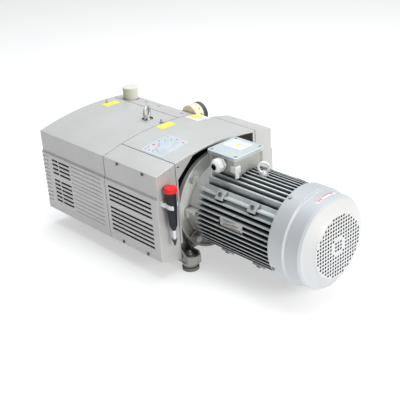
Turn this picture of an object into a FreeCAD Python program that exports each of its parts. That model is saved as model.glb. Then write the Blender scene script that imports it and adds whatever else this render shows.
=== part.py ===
# Dry-running rotary vane vacuum pump with a flange-mounted finned electric motor.
# Millimetres. +X runs along the shaft from the pump to the motor's fan, +Y to the port side, +Z up.
# Origin: centre of the four foot studs, on the floor.
# The geometry is written in a local frame (x = 0 at the sound hood's motor end, y = 0 on the shaft,
# z = 0 at 27 mm over the floor), and every solid is moved by SHIFT when it is written.
import FreeCAD, Part
import math
import os

os.makedirs("parts", exist_ok=True)
V = FreeCAD.Vector

# ---------------------------------------------------------------- driving dimensions
HOOD_L = 553.0          # hood length
HALF_W = 233.5          # half width of the hood's ribbed lower case
UP_Y = 228.5            # half width of the hood above its ledge
Z_BOT = 30.0            # hood's lower edge
Z_LEDGE = 223.0         # start of the ledge
Z_EDGE = 291.5          # where side and curved top meet
Z_APEX = 322.0          # top of the curved cover
WALL = 4.0              # hood wall
SEAM_X = -232.5         # seam between the two hood halves
REAR_X = -180.0         # start of the rear side cover
SEAM_Y = 159.0          # seams of the side covers
STRIP_Y0, STRIP_Y1 = 67.0, 131.0   # service strip on the top
GAP = 1.2               # half a panel gap
AX_Z = 144.0            # shaft height in the local frame
FLOOR_Z = -27.0
FOOT_X0, FOOT_X1, FOOT_Y = -472.0, 8.0, 135.0
LOUVRE_Z = [204.5, 190.5, 176.3, 162.0, 137.0, 123.1, 109.2, 95.3, 81.3, 67.3]
LOUVRE_H = 7.0
LOUVRE_Z_PUMP = [z + 3.5 for z in LOUVRE_Z]   # rows of the pump half sit a little higher
BORE_R, ROTOR_R, ECC = 105.0, 91.0, 13.6
CYL_X0, CYL_X1 = -480.0, -260.0
VANES = 7
VANE_T, VANE_H = 6.0, 36.0
FLANGE_R, FLANGE_PCD_R = 150.0, 132.5
FLANGE_X = -6.0
COWL_X0, COWL_X2, COWL_X3 = 312.0, 406.0, 434.0
COWL_R0, COWL_R1, GRILLE_R = 136.0, 130.0, 92.5
FRAME_R, FIN_R = 107.0, 129.0
ARCH = ((1.0, 60.0), (1.0, 317.0), (-30.0, 316.2), (-66.6, 314.4), (-91.4, 310.7), (-151.5, 257.2), (-151.5, 60.0))
FIN_X0, FIN_X1 = 36.0, 316.0
TB_X0, TB_X1, TB_Y0, TB_Y1 = 20.0, 134.0, -60.0, 58.0
TB_Z0, TB_Z1, LID_Z = 279.0, 315.0, 325.0
VALVE_X, VALVE_Z = -255.0, 299.0
CAP_X, CAP_Y = -500.0, 98.0

SHIFT = V(-(FOOT_X0 + FOOT_X1) / 2, 0, -FLOOR_Z)
R_TOP = (UP_Y ** 2 + (Z_APEX - Z_EDGE) ** 2) / (2 * (Z_APEX - Z_EDGE))
ZC_TOP = Z_APEX - R_TOP


def ztop(y):
    return ZC_TOP + math.sqrt(R_TOP ** 2 - y * y)


# ---------------------------------------------------------------- helpers
def box(x0, x1, y0, y1, z0, z1):
    return Part.makeBox(x1 - x0, y1 - y0, z1 - z0, V(x0, y0, z0))


def cylx(r, x0, x1, y=0.0, z=AX_Z):
    return Part.makeCylinder(r, x1 - x0, V(x0, y, z), V(1, 0, 0))


def cyly(r, y0, y1, x, z):
    return Part.makeCylinder(r, y1 - y0, V(x, y0, z), V(0, 1, 0))


def cylz(r, z0, z1, x, y):
    return Part.makeCylinder(r, z1 - z0, V(x, y, z0), V(0, 0, 1))


def tubex(ro, ri, x0, x1, y=0.0, z=AX_Z):
    return cylx(ro, x0, x1, y, z).cut(cylx(ri, x0 - 1, x1 + 1, y, z))


def revx(pts, y=0.0, z=AX_Z):
    """Turns a closed (x, r) outline about the shaft's direction."""
    p = [V(x, y, z + r) for x, r in pts]
    f = Part.Face(Part.makePolygon(p + [p[0]]))
    return f.revolve(V(0, y, z), V(1, 0, 0), 360)


def hexx(af, x0, x1, y, z):
    r = af / math.sqrt(3)
    p = [V(x0, y + r * math.cos(math.radians(60 * i)), z + r * math.sin(math.radians(60 * i))) for i in range(6)]
    return Part.Face(Part.makePolygon(p + [p[0]])).extrude(V(x1 - x0, 0, 0))


def hexz(af, z0, z1, x, y):
    r = af / math.sqrt(3)
    p = [V(x + r * math.cos(math.radians(60 * i)), y + r * math.sin(math.radians(60 * i)), z0) for i in range(6)]
    return Part.Face(Part.makePolygon(p + [p[0]])).extrude(V(0, 0, z1 - z0))


def hexy(af, y0, y1, x, z):
    r = af / math.sqrt(3)
    p = [V(x + r * math.cos(math.radians(60 * i)), y0, z + r * math.sin(math.radians(60 * i))) for i in range(6)]
    return Part.Face(Part.makePolygon(p + [p[0]])).extrude(V(0, y1 - y0, 0))


def fuse(first, *rest):
    s = first
    items = []
    for r in rest:
        items += r if isinstance(r, (list, tuple)) else [r]
    if items:
        s = first.fuse(items).removeSplitter()
    return s


def cut(s, *tools):
    items = []
    for t in tools:
        items += t if isinstance(t, (list, tuple)) else [t]
    return s.cut(items) if items else s


def group(items):
    return Part.makeCompound(items)


NODES = {}


def out(name, shape):
    s = shape.copy()
    s.translate(SHIFT)
    NODES[name] = s


def top_section(x0, x1, y0, y1, z_low, inset):
    """Solid under the curved top, from y0 to y1, with its top set in by inset."""
    a, b = V(x0, y0, ztop(y0) - inset), V(x0, y1, ztop(y1) - inset)
    m = V(x0, (y0 + y1) / 2, ztop((y0 + y1) / 2) - inset)
    e = [Part.Arc(a, m, b).toShape(), Part.makeLine(b, V(x0, y1, z_low)),
         Part.makeLine(V(x0, y1, z_low), V(x0, y0, z_low)), Part.makeLine(V(x0, y0, z_low), a)]
    return Part.Face(Part.Wire(e)).extrude(V(x1 - x0, 0, 0))


def side_outline(x, inset, y_in, z_low, sign):
    """Outline of a side cover: lower case, ledge, upper wall and the curved top as far as y_in."""
    s = sign
    lo, up = HALF_W - inset, UP_Y - inset
    z_c = Z_EDGE - inset * 1.05
    p0 = V(x, s * y_in, z_low)
    p1 = V(x, s * lo, z_low)
    p2 = V(x, s * lo, Z_LEDGE)
    p3 = V(x, s * up, Z_LEDGE + 6.0)
    p4 = V(x, s * up, z_c)
    ym = (up + y_in) / 2
    zi = lambda y: ztop(y) - inset
    p5 = V(x, s * y_in, zi(y_in))
    e = [Part.makeLine(p0, p1), Part.makeLine(p1, p2), Part.makeLine(p2, p3), Part.makeLine(p3, V(x, s * up, zi(up))),
         Part.Arc(V(x, s * up, zi(up)), V(x, s * ym, zi(ym)), p5).toShape(), Part.makeLine(p5, p0)]
    return Part.Face(Part.Wire(e))


def louvres(x0, x1, y0, y1, rows=LOUVRE_Z):
    res = []
    for z in rows:
        b = box(x0, x1, y0, y1, z - LOUVRE_H / 2, z + LOUVRE_H / 2)
        res.append(b)
    return res


# ---------------------------------------------------------------- sound hood
# main hood: front, free end and curved top of the pump half
def main_hood():
    x0, x1 = -HOOD_L, SEAM_X - GAP
    outer = side_outline(x0, 0.0, 0.0, Z_BOT, -1).extrude(V(x1 - x0, 0, 0))
    outer2 = top_section(x0, x1, 0.0, STRIP_Y0 - GAP, Z_BOT, 0.0)
    solid = outer.fuse(outer2).removeSplitter()
    inner = side_outline(x0 + WALL, WALL, 0.0, Z_BOT - 10, -1).extrude(V(x1 - x0, 0, 0))
    inner2 = top_section(x0 + WALL, x1 + 5, -1.0, STRIP_Y0 + 5, Z_BOT - 10, WALL)
    s = solid.cut([inner, inner2])
    # free end wall goes on to the rear casing
    endw = top_section(x0, x0 + WALL, 0.0, STRIP_Y1 - WALL - 0.5, Z_BOT, 0.0)
    endcut = box(x0 - 1, x0 + WALL + 1, STRIP_Y0 - GAP, STRIP_Y1 + 5, 299.0, 330.0)
    s = s.fuse(endw.cut(endcut)).removeSplitter()
    tools = []
    tools += louvres(-503.0, -471.5, -HALF_W - 5, -HALF_W + 8, LOUVRE_Z_PUMP)
    tools += louvres(-467.5, -411.0, -HALF_W - 5, -HALF_W + 8, LOUVRE_Z_PUMP)
    # grooves that carry the louvre lines round the case
    g = 1.4
    for z in [v + 7.05 for v in LOUVRE_Z_PUMP[:4]] + [159.0] + [v + 7.05 for v in LOUVRE_Z_PUMP[4:]]+ [63.8]:
        tools.append(box(-HOOD_L - 2, -524.0, -HALF_W - 3, -HALF_W + g, z - 3.0, z + 3.0))
        tools.append(box(-404.0, -252.0, -HALF_W - 3, -HALF_W + g, z - 3.0, z + 3.0))
        tools.append(box(-HOOD_L - 2, -HOOD_L + g, -HALF_W - 3, STRIP_Y1 + 3, z - 3.0, z + 3.0))
    # openings for lifting eye and grease nipples
    tools.append(cylz(17.5, 300, 340, -300.0, 0.0))
    tools.append(cylz(7.0, 300, 340, -517.0, 13.0))
    tools.append(cylz(7.0, 300, 340, -238.0, 3.0))
    # air outlet louvres on the free end
    for z in LOUVRE_Z_PUMP[4:]:
        tools.append(box(-HOOD_L - 5, -HOOD_L + 8, -150.0, 60.0, z - 3.5, z + 3.5))
    return s.cut(tools)


out("main_hood", main_hood())


# service strip along the top, with the inlet's opening and slots for the strip's screws
def service_strip():
    x0, x1 = -HOOD_L, SEAM_X - GAP
    s = top_section(x0, x1, STRIP_Y0 + GAP, STRIP_Y1, 300.0, 0.0)
    s = s.cut(top_section(x0 - 1, x1 + 1, STRIP_Y0 - 2, STRIP_Y1 - WALL, 290.0, WALL))
    s = s.fuse(box(x0, x1, STRIP_Y1 - WALL, STRIP_Y1, 300.0, 305.0)).removeSplitter()
    tools = [cylz(26.5, 290, 340, CAP_X, CAP_Y)]
    for x in (-432.0, -372.0, -262.0):
        tools.append(box(x - 6, x + 6, 104.0, 108.0, 290, 330))
        tools += [cylz(2.0, 290, 330, x - 6, 106.0), cylz(2.0, 290, 330, x + 6, 106.0)]
    return s.cut(tools)


out("service_strip", service_strip())


# rear casing: wall behind the strip, port deck and ribbed rear wall
def rear_casing():
    x0, x1 = -HOOD_L, REAR_X - GAP
    y0 = STRIP_Y1 - WALL
    s = box(x0, x1, STRIP_Y1 - WALL, STRIP_Y1, Z_LEDGE, 299.5)
    s = s.fuse([box(x0, x1, y0, HALF_W, Z_LEDGE, Z_LEDGE + WALL),
                box(x0, x1, HALF_W - WALL, HALF_W, Z_BOT, Z_LEDGE + WALL),
                box(x0, x0 + WALL, STRIP_Y1 + GAP, HALF_W, Z_BOT, Z_LEDGE + WALL)]).removeSplitter()
    tools = louvres(-500.0, -410.0, HALF_W - 8, HALF_W + 5)
    for z in LOUVRE_Z:
        tools.append(box(-HOOD_L - 2, -HOOD_L + 1.4, STRIP_Y1 - 1, HALF_W + 3, z - 3.0, z + 3.0))
        tools.append(box(-HOOD_L - 2, -522.0, HALF_W - 1.4, HALF_W + 3, z - 3.0, z + 3.0))
        tools.append(box(-392.0, -215.0, HALF_W - 1.4, HALF_W + 3, z - 3.0, z + 3.0))
    tools.append(cylz(17.0, 200, 240, VALVE_X, 149.0))
    tools.append(cylz(33.0, 200, 240, -350.0, 184.0))
    return s.cut(tools)


out("rear_casing", rear_casing())


def side_cover(sign, x0):
    x1 = 0.0
    yin = SEAM_Y + GAP
    outer = side_outline(x0, 0.0, yin, 8.0, sign).extrude(V(x1 - x0, 0, 0))
    inner = side_outline(x0 - 2, WALL, yin - 2, 0.0, sign).extrude(V(x1 - WALL - x0 + 2, 0, 0))
    s = outer.cut(inner)
    # lower edge: level along the side, sloping down towards the feet on the motor end
    s = s.cut(box(x0 - 1, x1 - WALL - 0.0, min(sign * 100, sign * 240), max(sign * 100, sign * 240), 0.0, Z_BOT))
    p = [V(-WALL - 1, sign * 240.0, Z_BOT), V(-WALL - 1, sign * HALF_W, Z_BOT), V(-WALL - 1, sign * (SEAM_Y - 2), 10.0),
         V(-WALL - 1, sign * (SEAM_Y - 2), 0.0), V(-WALL - 1, sign * 240.0, 0.0)]
    s = s.cut(Part.Face(Part.makePolygon(p + [p[0]])).extrude(V(WALL + 3, 0, 0)))
    ya, yb = sorted((sign * (HALF_W - 8), sign * (HALF_W + 5)))
    tools = louvres(max(x0 + 13.5, -219.0) if x0 < -200 else x0 + 22.0, -26.5, ya, yb)
    # countersunk screw seats in the upper edge and near the lower edge
    for x in (-169.0, -59.0):
        if x > x0 + 5:
            yc, yd = sorted((sign * (UP_Y - 8), sign * (HALF_W + 3)))
            tools.append(cyly(2.6, yc, yd, x, 285.0))
            tools.append(cyly(2.6, yc, yd, x, 37.5))
    s = s.cut(tools)
    return s


out("front_side_cover", side_cover(-1, SEAM_X + GAP))
out("rear_side_cover", side_cover(1, REAR_X + GAP))


def top_cover():
    xa, xm, xb = SEAM_X + GAP, REAR_X - GAP, 0.0
    s1 = top_section(xa, xb, -(SEAM_Y - GAP), SEAM_Y - GAP, 300.0, 0.0)
    s1 = s1.cut(top_section(xa - 1, xb + 1, -(SEAM_Y + 1), SEAM_Y + 1, 290.0, WALL))
    s1 = s1.cut(box(xa - 2, xm, STRIP_Y1, 240.0, 280.0, 330.0))
    return s1.cut([cylz(7.0, 300, 340, -238.0, 3.0)])




def arch_plate():
    s = top_section(-WALL, 0.0, -(SEAM_Y - GAP), SEAM_Y - GAP, 60.0, WALL)
    pts = [V(-10, y, z) for y, z in ARCH]
    arc = Part.Face(Part.makePolygon(pts + [pts[0]])).extrude(V(15, 0, 0))
    s = s.cut([arc, box(-10, 5, -151.5, 1, 0, AX_Z + 60), box(-10, 5, 0, 150.0, 0, 296.0),
               box(-10, 5, 0, 150.0, 290.0, 330.0).common(top_section(-10, 5, -1, 151, 280.0, WALL + 3.0)),
               box(-10, 5, -153.0, -144.0, 292.0, 296.5)])
    return s


# the curved top and the end plate with its opening for the motor flange are one folded sheet
out("top_cover", top_cover().fuse(arch_plate()).removeSplitter())

# cover screws: pan heads on both side covers
scr = []
for sign, x0 in ((-1, SEAM_X), (1, REAR_X)):
    for x in (-169.0, -59.0):
        if x > x0 + 5:
            for z, y in ((285.0, UP_Y), (37.5, HALF_W)):
                a, b = sorted((sign * (y - 7), sign * y))
                sh = cyly(2.4, a, b, x, z)
                c, d = sorted((sign * y, sign * (y + 2.2)))
                hd = cyly(4.6, c, d, x, z).cut(box(x - 0.6, x + 0.6, min(sign * (y + 1.2), sign * (y + 3)), max(sign * (y + 1.2), sign * (y + 3)), z - 5, z + 5))
                scr.append(sh.fuse(hd).removeSplitter())

# ---------------------------------------------------------------- pump end
BORE_Z = AX_Z - ECC
# cylinder: eccentric bore, ring ribs, side flanges for the ports
cyl = cylx(BORE_R + 13, CYL_X0, CYL_X1, 0, BORE_Z)
ribs = [cylx(BORE_R + 23, CYL_X0 + 22 + 22 * i, CYL_X0 + 28 + 22 * i, 0, BORE_Z) for i in range(9)]
pads = [box(-400.0, -340.0, -131.5, -90.0, 150.0, 205.0), box(-430.0, -300.0, 90.0, 142.0, 150.0, 205.0)]
cyl = fuse(cyl, ribs, pads, cylz(17.0, 230, 268, -300.0, 0.0))
cyl = cyl.cut([cylx(BORE_R, CYL_X0 - 1, CYL_X1 + 1, 0, BORE_Z), cyly(16.0, -150, -80, -370.0, 178.0), cyly(19.0, 80, 150, -350.0, 170.0),
               cylz(5.2, 252, 270, -300.0, 0.0)])
out("pump_cylinder", cyl)


def end_shield(x0, x1, drive):
    s = cylx(128.0, x0, x1)
    if drive:
        s = s.fuse(cylx(62.0, x1, x1 + 14.0))
        s = s.fuse(cylz(7.5, 250, 285, -238.0, 3.0)).removeSplitter()
        s = s.cut([cylx(45.0, x0 + 8, x1 + 20), cylx(27.0, x0 - 1, x1 + 20)])
        s = s.cut([cylz(3.0, 186, 290, -238.0, 3.0)])
    else:
        lugs = []
        for sg in (-1, 1):
            a, b = sorted((sg * 70.0, sg * 160.0))
            lugs.append(box(x0, x1, a, b, -2.0, 40.0))
            lugs.append(box(FOOT_X0 - 24, FOOT_X0 + 25, sorted((sg * 110.0, sg * 160.0))[0], sorted((sg * 110.0, sg * 160.0))[1], 4.0, 14.0))
            lugs.append(cylz(24.5, -17.0, 14.0, FOOT_X0, sg * FOOT_Y))
        s = fuse(s, lugs, cylx(62.0, x0 - 14.0, x0), cylz(8.0, 250, 285, -517.0, 13.0))
        s = s.cut([cylx(45.0, x0 - 20, x1 - 8), cylx(27.0, x0 - 20, x1 + 1), cylz(3.0, 186, 290, -517.0, 13.0)])
        for sg in (-1, 1):
            s = s.cut([cylz(5.5, -20, 20, FOOT_X0, sg * FOOT_Y), cylz(13.5, 14.0, 60.0, FOOT_X0, sg * FOOT_Y)])
            # clears the cylinder
        s = s.cut(cylx(BORE_R + 23.5, x1, x1 + 60, 0, BORE_Z))
    return s


out("free_end_shield", end_shield(-526.0, -480.0, False))
out("drive_end_shield", end_shield(-260.0, -230.0, True))
out("free_end_bearing_cap", fuse(cylx(60.0, -547.0, -540.0), cylx(44.8, -540.0, -527.0)).cut(cylx(36.0, -541.0, -520.0)))


def rings(specs):
    """Rolling bearings: outer rings stay with the casing; inner rings and rolling elements go with the shaft."""
    outer, inner = [], []
    for x0, x1, ri, ro, n, balls in specs:
        t = (ro - ri) * 0.26
        outer.append(tubex(ro, ro - t, x0, x1))
        inner.append(tubex(ri + t, ri, x0, x1))
        rr = ((ro - t) - (ri + t)) / 2 - 0.1
        rm = ((ro - t) + (ri + t)) / 2
        for i in range(n):
            y, z = rm * math.cos(2 * math.pi * i / n), rm * math.sin(2 * math.pi * i / n)
            inner.append(Part.makeSphere(rr, V((x0 + x1) / 2, y, AX_Z + z)) if balls else cylx(rr, x0 + 3, x1 - 3, y, AX_Z + z))
    return outer, inner


po, pi_ = rings([(-526.0, -490.0, 25.0, 45.0, 12, False), (-251.0, -221.0, 25.0, 45.0, 12, False)])
out("pump_bearing_inner_rings_and_rollers", group(pi_))

# rotor with radial slots
ROT_X0, ROT_X1 = CYL_X0 + 0.3, CYL_X1 - 0.3
rot = cylx(ROTOR_R, ROT_X0, ROT_X1)
PHASE = 90.0 + 360.0 / VANES / 2
slots = []
for i in range(VANES):
    a = PHASE + 360.0 * i / VANES
    b = box(ROT_X0 - 1, ROT_X1 + 1, ROTOR_R - VANE_H - 3.0, ROTOR_R + 5, -VANE_T / 2 - 0.08, VANE_T / 2 + 0.08)
    b.rotate(V(0, 0, 0), V(1, 0, 0), a)
    b.translate(V(0, 0, AX_Z))
    slots.append(b)
holes = []
for i in range(VANES):
    a = math.radians(PHASE + 360.0 * (i + 0.5) / VANES)
    holes.append(cylx(11.0, ROT_X0 - 1, ROT_X1 + 1, 62.0 * math.cos(a), AX_Z + 62.0 * math.sin(a)))
rot = rot.cut(slots + holes + [cylx(25.0, ROT_X0 - 1, ROT_X1 + 1)])
out("pump_rotor", rot)
out("rotor_shaft", fuse(cylx(25.0, -526.0, -221.0), cylx(21.0, -221.0, -152.0)))
VANE_REST_R = ROTOR_R - 0.6
for i in range(VANES):
    a = PHASE + 360.0 * i / VANES
    b = box(ROT_X0 + 0.1, ROT_X1 - 0.1, VANE_REST_R - VANE_H, VANE_REST_R, -VANE_T / 2, VANE_T / 2)
    b.rotate(V(0, 0, 0), V(1, 0, 0), a)
    b.translate(V(0, 0, AX_Z))
    out("vane_%d" % (i + 1), b)

# ---------------------------------------------------------------- filters and pipes inside the hood
out("inlet_filter_canister", fuse(tubex(46.0, 43.5, -528.0, -292.0, -178.0, 178.0), cylx(46.0, -531.0, -528.0, -178.0, 178.0),
                                  cylx(46.0, -292.0, -288.0, -178.0, 178.0), box(-392.0, -348.0, -142.0, -131.6, 160.0, 196.0).cut(cylx(43.5, -400, -340, -178.0, 178.0))
                                  ).cut(cyly(14.0, -150, -125, -370.0, 178.0)))
out("inlet_filter_cartridge", tubex(36.0, 24.0, -526.0, -300.0, -178.0, 178.0))
# exhaust silencer with its outlet spigot, which stands through the port deck
out("exhaust_silencer", fuse(tubex(40.0, 37.5, -528.0, -290.0, 183.0, 155.0), cylx(40.0, -531.0, -528.0, 183.0, 155.0), cylx(40.0, -290.0, -286.0, 183.0, 155.0),
                             cyly(24.0, 142.1, 170.0, -350.0, 170.0).cut([cylx(39.0, -400, -300, 183.0, 155.0), cyly(19.0, 140, 175, -350.0, 170.0)]),
                             cylz(32.0, 188.0, 258.0, -350.0, 184.0).cut(cylx(39.0, -400, -300, 183.0, 155.0)),
                             cylz(42.0, 227.3, 233.0, -350.0, 184.0)).cut(cylz(28.5, 170.0, 270.0, -350.0, 184.0)))
# intake block and inlet pipe
out("inlet_manifold", fuse(box(-532.0, -440.0, 72.0, 122.0, 276.0, 302.0), cylz(22.4, 302.0, 348.0, CAP_X, CAP_Y)).cut(cylz(18.0, 284.0, 350.0, CAP_X, CAP_Y)))
cap = cylz(24.8, 316.5, 357.0, CAP_X, CAP_Y)
cap = cap.makeFillet(2.0, [e for e in cap.Edges if abs(e.BoundBox.ZMax - 357.0) < 0.01 and abs(e.BoundBox.ZMin - 357.0) < 0.01])
out("inlet_cap", cap.cut(cylz(22.7, 310.0, 350.0, CAP_X, CAP_Y)))

# ---------------------------------------------------------------- vacuum relief valve behind the strip
vb = cyly(35.0, 133.0, 164.0, VALVE_X, VALVE_Z)
vb = vb.fuse([cylz(15.0, 185.0, 275.0, VALVE_X, 149.0), hexz(36.0, 228.0, 240.0, VALVE_X, 149.0)]).removeSplitter()
vb = vb.cut([cyly(29.0, 141.0, 165.0, VALVE_X, VALVE_Z), cylz(9.0, 180.0, 290.0, VALVE_X, 149.0)])
vh = []
for i in range(12):
    a = math.radians(30 * i + 15)
    h = Part.makeCylinder(2.6, 20, V(VALVE_X + 25 * math.cos(a), 152.5, VALVE_Z + 25 * math.sin(a)), V(math.cos(a), 0, math.sin(a)))
    vh.append(h)
out("relief_valve_body", vb.cut(vh))
kn = cyly(35.5, 164.3, 181.0, VALVE_X, VALVE_Z)
kn = kn.makeFillet(2.5, [e for e in kn.Edges if abs(e.BoundBox.YMin - 181.0) < 0.01 and abs(e.BoundBox.YMax - 181.0) < 0.01])
notch = []
for i in range(36):
    a = math.radians(10 * i)
    notch.append(cyly(0.9, 164.0, 178.0, VALVE_X + 36.0 * math.cos(a), VALVE_Z + 36.0 * math.sin(a)))
kn = kn.cut(notch)
kn = kn.cut([cyly(16.0, 160.0, 172.0, VALVE_X, VALVE_Z)])
kn = kn.fuse(cyly(28.5, 161.5, 164.3, VALVE_X, VALVE_Z).cut(cyly(16.0, 160.0, 165.0, VALVE_X, VALVE_Z))).removeSplitter()
out("relief_valve_knob", kn)
out("relief_valve_poppet", fuse(cyly(20.0, 141.2, 144.0, VALVE_X, VALVE_Z), cyly(4.0, 144.0, 156.0, VALVE_X, VALVE_Z)))
hx = Part.makeHelix(4.2, 22.0, 9.0)
prof = Part.Wire(Part.makeCircle(1.0, V(9.0, 0, 0), V(0, 1, 0)))
sp = Part.Wire(hx.Edges).makePipeShell([prof], True, True)
sp.rotate(V(0, 0, 0), V(1, 0, 0), -90)
sp.translate(V(VALVE_X, 147.2 - 0.0, VALVE_Z))
spb = sp.BoundBox
sp.translate(V(0, 144.0 - spb.YMin, 0))
out("relief_valve_spring", sp)


# ---------------------------------------------------------------- lifting eyes, grease nipples
def eyebolt(x, y, z0, ring_ro, ring_ri, collar_r, shank_r, shank_l, deg):
    rw = (ring_ro - ring_ri) / 2
    rm = (ring_ro + ring_ri) / 2
    zc = z0 + 3.0 + ring_ro - rw * 0.5
    t = Part.makeTorus(rm, rw, V(0, 0, 0), V(0, 1, 0))
    t.rotate(V(0, 0, 0), V(0, 0, 1), deg)
    t.translate(V(x, y, zc))
    c = cylz(collar_r, z0, z0 + 4.0, x, y)
    n = Part.makeCone(collar_r * 0.8, rw * 1.15, rw * 1.0 + 1.0, V(x, y, z0 + 4.0), V(0, 0, 1))
    sh = cylz(shank_r, z0 - shank_l, z0, x, y)
    s = c.fuse([n, sh, t]).removeSplitter()
    hole = Part.makeTorus(rm, rw, V(0, 0, 0), V(0, 1, 0))
    return s, zc


eb, EYE_Z = eyebolt(-300.0, 0.0, 316.0, 23.5, 13.5, 12.0, 5.0, 62.0, 118.0)
eb = eb.fuse(cylz(13.0, 268.2, 316.0, -300.0, 0.0)).removeSplitter()
out("lifting_eyebolt", eb)
nip = []
for x, y in ((-517.0, 13.0), (-238.0, 3.0)):
    nip.append(fuse(cylz(4.5, 285.0, 318.0, x, y), hexz(9.0, 318.0, 324.0, x, y), cylz(2.6, 324.0, 331.0, x, y), Part.makeSphere(3.4, V(x, y, 331.0))))
out("grease_nipples", group(nip))

# ---------------------------------------------------------------- adapter housing between pump and motor
ad = tubex(146.0, 138.0, -229.9, -32.0)
ad = ad.fuse([tubex(146.0, 63.0, -229.9, -222.0), tubex(150.0, 115.2, -32.0, -20.0)]).removeSplitter()
lug = []
for sg in (-1, 1):
    def sy(v):
        return sg * v
    # boat-shaped foot: chamfered outline with a raised rim round the stud
    o = [(-40.0, 106.0), (16.0, 106.0), (38.0, 120.0), (41.0, 140.0), (26.0, 159.0), (-40.0, 159.0)]
    q = [(-34.0, 111.5), (14.5, 111.5), (33.0, 123.5), (35.5, 138.5), (23.3, 153.5), (-34.0, 153.5)]
    op = [V(x, sy(y), -2.0) for x, y in o]
    qp = [V(x, sy(y), 10.0) for x, y in q]
    lo = Part.Face(Part.makePolygon(op + [op[0]])).extrude(V(0, 0, 24.0))
    li = Part.Face(Part.makePolygon(qp + [qp[0]])).extrude(V(0, 0, 30.0))
    lug.append(lo.cut(li))
    lug.append(Part.makeCone(21.0, 27.0, 17.0, V(FOOT_X1, sy(FOOT_Y), -17.0), V(0, 0, 1)))
    a, b = sorted((sy(153.5), sy(159.0)))
    web = [V(-40.0, a, 20.0), V(14.0, a, 20.0), V(-12.0, a, 44.0), V(-28.0, a, 86.0), V(-40.0, a, 86.0)]
    lug.append(Part.Face(Part.makePolygon(web + [web[0]])).extrude(V(0, b - a, 0)))
    a, b = sorted((sy(104.0), sy(110.0)))
    web = [V(-40.0, a, 20.0), V(-10.0, a, 20.0), V(-22.0, a, 34.0), V(-28.0, a, 62.0), V(-40.0, a, 62.0)]
    lug.append(Part.Face(Part.makePolygon(web + [web[0]])).extrude(V(0, b - a, 0)))
    back = [V(-40.0, sy(60.0), 4.0), V(-40.0, sy(159.0), -2.0), V(-40.0, sy(159.0), 86.0), V(-40.0, sy(138.0), 110.0), V(-40.0, sy(108.0), 62.0), V(-40.0, sy(60.0), 30.0)]
    lug.append(Part.Face(Part.makePolygon(back + [back[0]])).extrude(V(8.0, 0, 0)))
ad = ad.fuse(lug).removeSplitter()
adcut = [cylx(138.0, -222.0, -32.0), cylx(115.2, -60.0, -10.0), cylx(63.0, -240.0, -220.0)]
for sg in (-1, 1):
    adcut.append(cylz(5.5, -20, 20, FOOT_X1, sg * FOOT_Y))
    a, b = sorted((sg * 120.0, sg * 200.0))
    adcut.append(box(-205.0, -60.0, a, b, 100.0, 200.0))
adcut += [box(-205.0, -60.0, -50.0, 50.0, 250.0, 300.0), box(-205.0, -60.0, -60.0, 60.0, -20.0, 30.0)]
adcut += [cylx(6.0, -33, -19, FLANGE_PCD_R * math.cos(math.radians(a)), AX_Z + FLANGE_PCD_R * math.sin(math.radians(a))) for a in (45, 135, 225, 315)]
out("adapter_housing", ad.cut(adcut))

# feet
feet, studs = [], []
for x in (FOOT_X0, FOOT_X1):
    for sg in (-1, 1):
        f = cylz(25.0, FLOOR_Z, -17.0, x, sg * FOOT_Y)
        feet.append(f.cut(cylz(5.0, FLOOR_Z - 1, -16.0, x, sg * FOOT_Y)))
        zt = 10.0 if x > 0 else 14.0
        studs.append(fuse(cylz(4.9, -17.0, zt + 20.0, x, sg * FOOT_Y), hexz(17.0, zt + 2.5, zt + 11.0, x, sg * FOOT_Y), cylz(12.5, zt, zt + 2.5, x, sg * FOOT_Y)))
out("rubber_feet", group(feet))
out("foot_studs", group(studs))

# ---------------------------------------------------------------- coupling and cooling fan
def jaw_hub(x0, x1, jx0, jx1, bore, phase):
    s = cylx(44.0, x0, x1)
    jaws = []
    for i in range(3):
        a = 120.0 * i + phase
        w = tubex(44.0, 20.0, jx0, jx1)
        wedge = [V(jx0 - 1, 0, 0), V(jx0 - 1, 60 * math.cos(math.radians(-24)), 60 * math.sin(math.radians(-24))), V(jx0 - 1, 60 * math.cos(math.radians(24)), 60 * math.sin(math.radians(24)))]
        wf = Part.Face(Part.makePolygon(wedge + [wedge[0]])).extrude(V(jx1 - jx0 + 2, 0, 0))
        wf.rotate(V(0, 0, 0), V(1, 0, 0), a)
        wf.translate(V(0, 0, AX_Z))
        jaws.append(w.common(wf))
    return s.fuse(jaws).removeSplitter().cut(cylx(bore, x0 - 1, x1 + 1))


out("coupling_hub_pump", jaw_hub(-200.0, -152.0, -152.0, -134.0, 21.0, 0.0))
out("coupling_hub_motor", jaw_hub(-130.0, -62.0, -148.0, -130.0, 19.0, 60.0))
legs = []
for i in range(6):
    c0, s0 = math.cos(math.radians(5.4)), math.sin(math.radians(5.4))
    w = [V(-147.0, 17.0, -1.6), V(-147.0, 42.0 * c0, -42.0 * s0), V(-147.0, 42.0 * c0, 42.0 * s0), V(-147.0, 17.0, 1.6)]
    leg = Part.Face(Part.makePolygon(w + [w[0]])).extrude(V(12.0, 0, 0))
    leg.rotate(V(0, 0, 0), V(1, 0, 0), 60.0 * i + 30.0)
    leg.translate(V(0, 0, AX_Z))
    legs.append(leg)
out("coupling_spider", fuse(tubex(19.5, 10.0, -147.0, -135.0), legs))
fan = fuse(tubex(132.0, 44.0, -206.0, -202.0).cut(cylx(44.0, -210, -198)), tubex(52.0, 44.0, -206.0, -178.0))
bl = []
for i in range(14):
    b = box(-202.0, -168.0, 60.0, 130.0, -1.5, 1.5)
    b.rotate(V(0, 95, 0), V(1, 0, 0), 22.0)
    b.rotate(V(0, 0, 0), V(1, 0, 0), 360.0 / 14 * i)
    b.translate(V(0, 0, AX_Z))
    bl.append(b)
out("coupling_fan", fuse(fan, bl))

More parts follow.
